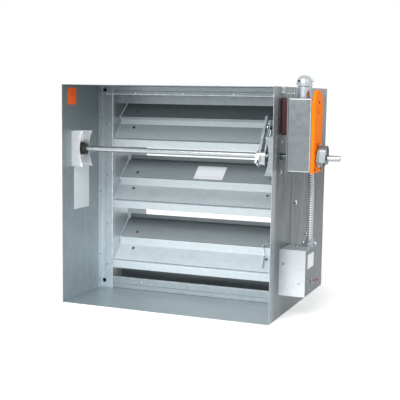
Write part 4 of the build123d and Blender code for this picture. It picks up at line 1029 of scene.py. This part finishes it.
def lettering(name, text, place, finish):
    """Plain figures raised on a face that looks along +X: a text curve made a mesh, then put in place."""
    curve = bpy.data.curves.new(name, "FONT")
    curve.body = text
    curve.size = FIGURE_SIZE
    curve.align_x = "CENTER"
    curve.align_y = "CENTER"
    curve.extrude = FIGURE_RISE / 2
    holder = bpy.data.objects.new(name + "_curve", curve)
    mesh = bpy.data.meshes.new_from_object(holder)
    bpy.data.objects.remove(holder)
    bpy.data.curves.remove(curve)
    turn = Matrix((Y_AXIS, Z_AXIS, X_AXIS)).transposed().to_4x4()
    mesh.transform(Matrix.Translation(place) @ turn)
    mesh.name = name
    return seat(new_piece(name, mesh, FINISH[finish], 0.0), FIXED_BODY)


def make_cover_marks():
    """Tick marks as raised bars on a circle about the hub, numbers beside them, vent marks and screws."""
    hub = np.array((COVER_FACE, SHAFT_Y, SHAFT_Z))
    ticks = []
    for step in range(TICKS):
        angle = math.radians(FIRST_TICK + TICK_STEP * step)
        out = np.array((0.0, math.cos(angle), math.sin(angle)))
        along = np.array((0.0, -math.sin(angle), math.cos(angle)))
        length = LONG_TICK if step % TICKS_PER_NUMBER == 0 else SHORT_TICK
        centre = hub + out * (DIAL_RADIUS + length / 2)
        ticks.append(plate(centre, along, -out, TICK_WIDTH, length, *TICK_SHAPE))
    add_piece("dial_ticks", ticks, "black_plastic", "dark_red")
    for number, degrees, reach in DIAL_NUMBERS:
        angle = math.radians(degrees)
        y, z = SHAFT_Y + reach * math.cos(angle), SHAFT_Z + reach * math.sin(angle)
        place = (COVER_FACE + FIGURE_LIFT, y, z)
        lettering(f"dial_number_{number}", str(number), place, "dark_red")
    vents = [plate((COVER_FACE, SHAFT_Y + side * VENT_OUT, SHAFT_Z + z), Y_AXIS, Z_AXIS, *VENT_SIZE)
             for side, z in VENT_MARKS]
    add_piece("cover_vent_marks", vents, "black_plastic", "dark_red")
    screws = [turned(COVER_SCREW, (COVER_FACE, SHAFT_Y + y, SHAFT_Z + z), X_AXIS, 24)
              for y, z in COVER_SCREWS]
    add_piece("cover_screws", screws, "dark_steel")


# Control box: knock-out rings and a slot on the cover, a screw on the top and one below

KNOCKOUT_X, KNOCKOUT_Z = 0.4340, 0.1930
OUTER_RING = ((0.0195, 0.0), (0.0192, 0.00045), (0.0182, 0.00045), (0.0179, 0.0))
INNER_RING = ((0.0118, 0.0), (0.0115, 0.0004), (0.0107, 0.0004), (0.0104, 0.0))
BOX_SLOT_X, BOX_SLOT_Z = 0.4469, 0.1257
BOX_SLOT_SIZE = (0.0060, 0.0022, THIN, 0.0010)
TOP_SCREW_X, TOP_SCREW_Y = 0.4140, -0.1600
TOP_SCREW_SIZE = (0.0040, 0.0022)
LOW_SCREW_X, LOW_SCREW_Y = 0.4337, -0.2300
LOW_SCREW = ((0.0, 0.0), (0.0065, 0.0), (0.0065, 0.0035), (0.0050, 0.0045), (0.0, 0.0045))


def make_box_marks():
    """Two pressed rings and a slot on the cover, a domed screw on the top, and a hexagon screw below."""
    face_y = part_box("control_box_cover")[0][1]
    rings = [turned(profile, (KNOCKOUT_X, face_y, KNOCKOUT_Z), FORWARD, sides)
             for profile, sides in ((OUTER_RING, 56), (INNER_RING, 40))]
    add_piece("cover_knockout_rings", rings, "box_steel", "cover_steel")
    slot = plate((BOX_SLOT_X, face_y, BOX_SLOT_Z), X_AXIS, Z_AXIS, *BOX_SLOT_SIZE)
    add_piece("cover_slot", [slot], "black_plastic")
    top = rivet((TOP_SCREW_X, TOP_SCREW_Y, BOX_HIGH[2]), Z_AXIS, *TOP_SCREW_SIZE)
    add_piece("box_top_screw", [top], "zinc_hardware")
    below = turned(LOW_SCREW, (LOW_SCREW_X, LOW_SCREW_Y, BOX_LOW[2]), (0, 0, -1), 6)
    add_piece("box_bottom_screw", [below], "zinc_hardware")


# Studio

FLOOR_HALF = 25.0
FLOOR_COLOUR = (0.93, 0.93, 0.93)
FLOOR_LIFT = 0.31
WORLD_LIGHT = 0.80
WHITE = (1.0, 1.0, 1.0)
# Each lamp is (place, target, its two sides, power in watts)
LAMPS = {
    "key_lamp": ((0.0, -4.2, 2.9), (0.0, 0.0, 0.25), (3.0, 1.6), 165.0),
    "side_lamp": ((3.4, -1.6, 2.4), (0.3, 0.0, 0.4), (1.6, 1.6), 8.0),
}


def background_seen(tree):
    """1 where the camera, a reflection or a ray through a clear piece meets the background, and 0 where the
    background only gives light."""
    path = tree.nodes.new("ShaderNodeLightPath")
    direct = math_node(tree, "MAXIMUM", path.outputs["Is Camera Ray"], path.outputs["Is Transmission Ray"])
    return math_node(tree, "MAXIMUM", direct, path.outputs["Is Glossy Ray"])


def set_stage():
    """Pale floor, lifted to white where the camera or a reflection sees it, so that only the shadow shows."""
    mesh = bpy.data.meshes.new("floor")
    corners = [(x * FLOOR_HALF, y * FLOOR_HALF, 0) for x, y in ((-1, -1), (1, -1), (1, 1), (-1, 1))]
    mesh.from_pydata(corners, [], [(0, 1, 2, 3)])
    floor = bpy.data.objects.new("floor", mesh)
    bpy.context.scene.collection.objects.link(floor)
    material, tree, shader = new_material("floor_paint")
    fill(tree, shader.inputs, Base_Color=opaque(FLOOR_COLOUR), Roughness=0.9, Specular_IOR_Level=0.1,
         Emission_Color=opaque(WHITE), Emission_Strength=times(tree, background_seen(tree), FLOOR_LIFT))
    mesh.materials.append(material)


def area_light(name, place, target, size, power):
    """Soft rectangular lamp aimed at a point."""
    data = bpy.data.lights.new(name, "AREA")
    data.shape = "RECTANGLE"
    data.size, data.size_y = size
    data.energy = power
    lamp = bpy.data.objects.new(name, data)
    bpy.context.scene.collection.objects.link(lamp)
    aim = (Vector(target) - Vector(place)).to_track_quat("-Z", "Y")
    lamp.matrix_world = Matrix.Translation(place) @ aim.to_matrix().to_4x4()


def set_lights():
    """Even world light, a large key lamp in front and above, and a weaker one from the right."""
    world = bpy.data.worlds.new("studio")
    world.use_nodes = True
    bpy.context.scene.world = world
    tree = world.node_tree
    tree.nodes.clear()
    output = tree.nodes.new("ShaderNodeOutputWorld")
    strength = mapped(tree, background_seen(tree), (0.0, 1.0), (WORLD_LIGHT, 1.0))
    sky = node(tree, "ShaderNodeBackground", {"Color": opaque(WHITE), "Strength": strength})
    tree.links.new(sky.outputs["Background"], output.inputs["Surface"])
    for name, values in LAMPS.items():
        area_light(name, *values)
    bpy.context.scene.view_settings.view_transform = "Standard"


set_camera()
dress_cad_nodes()
soften_nodes()
make_conduit()
make_elbow()
make_straight_fitting()
make_rear_cap()
make_nuts()
make_labels()
make_creases()
make_bright_edges()
make_marks()
make_cover_marks()
make_box_marks()
set_stage()
set_lights()
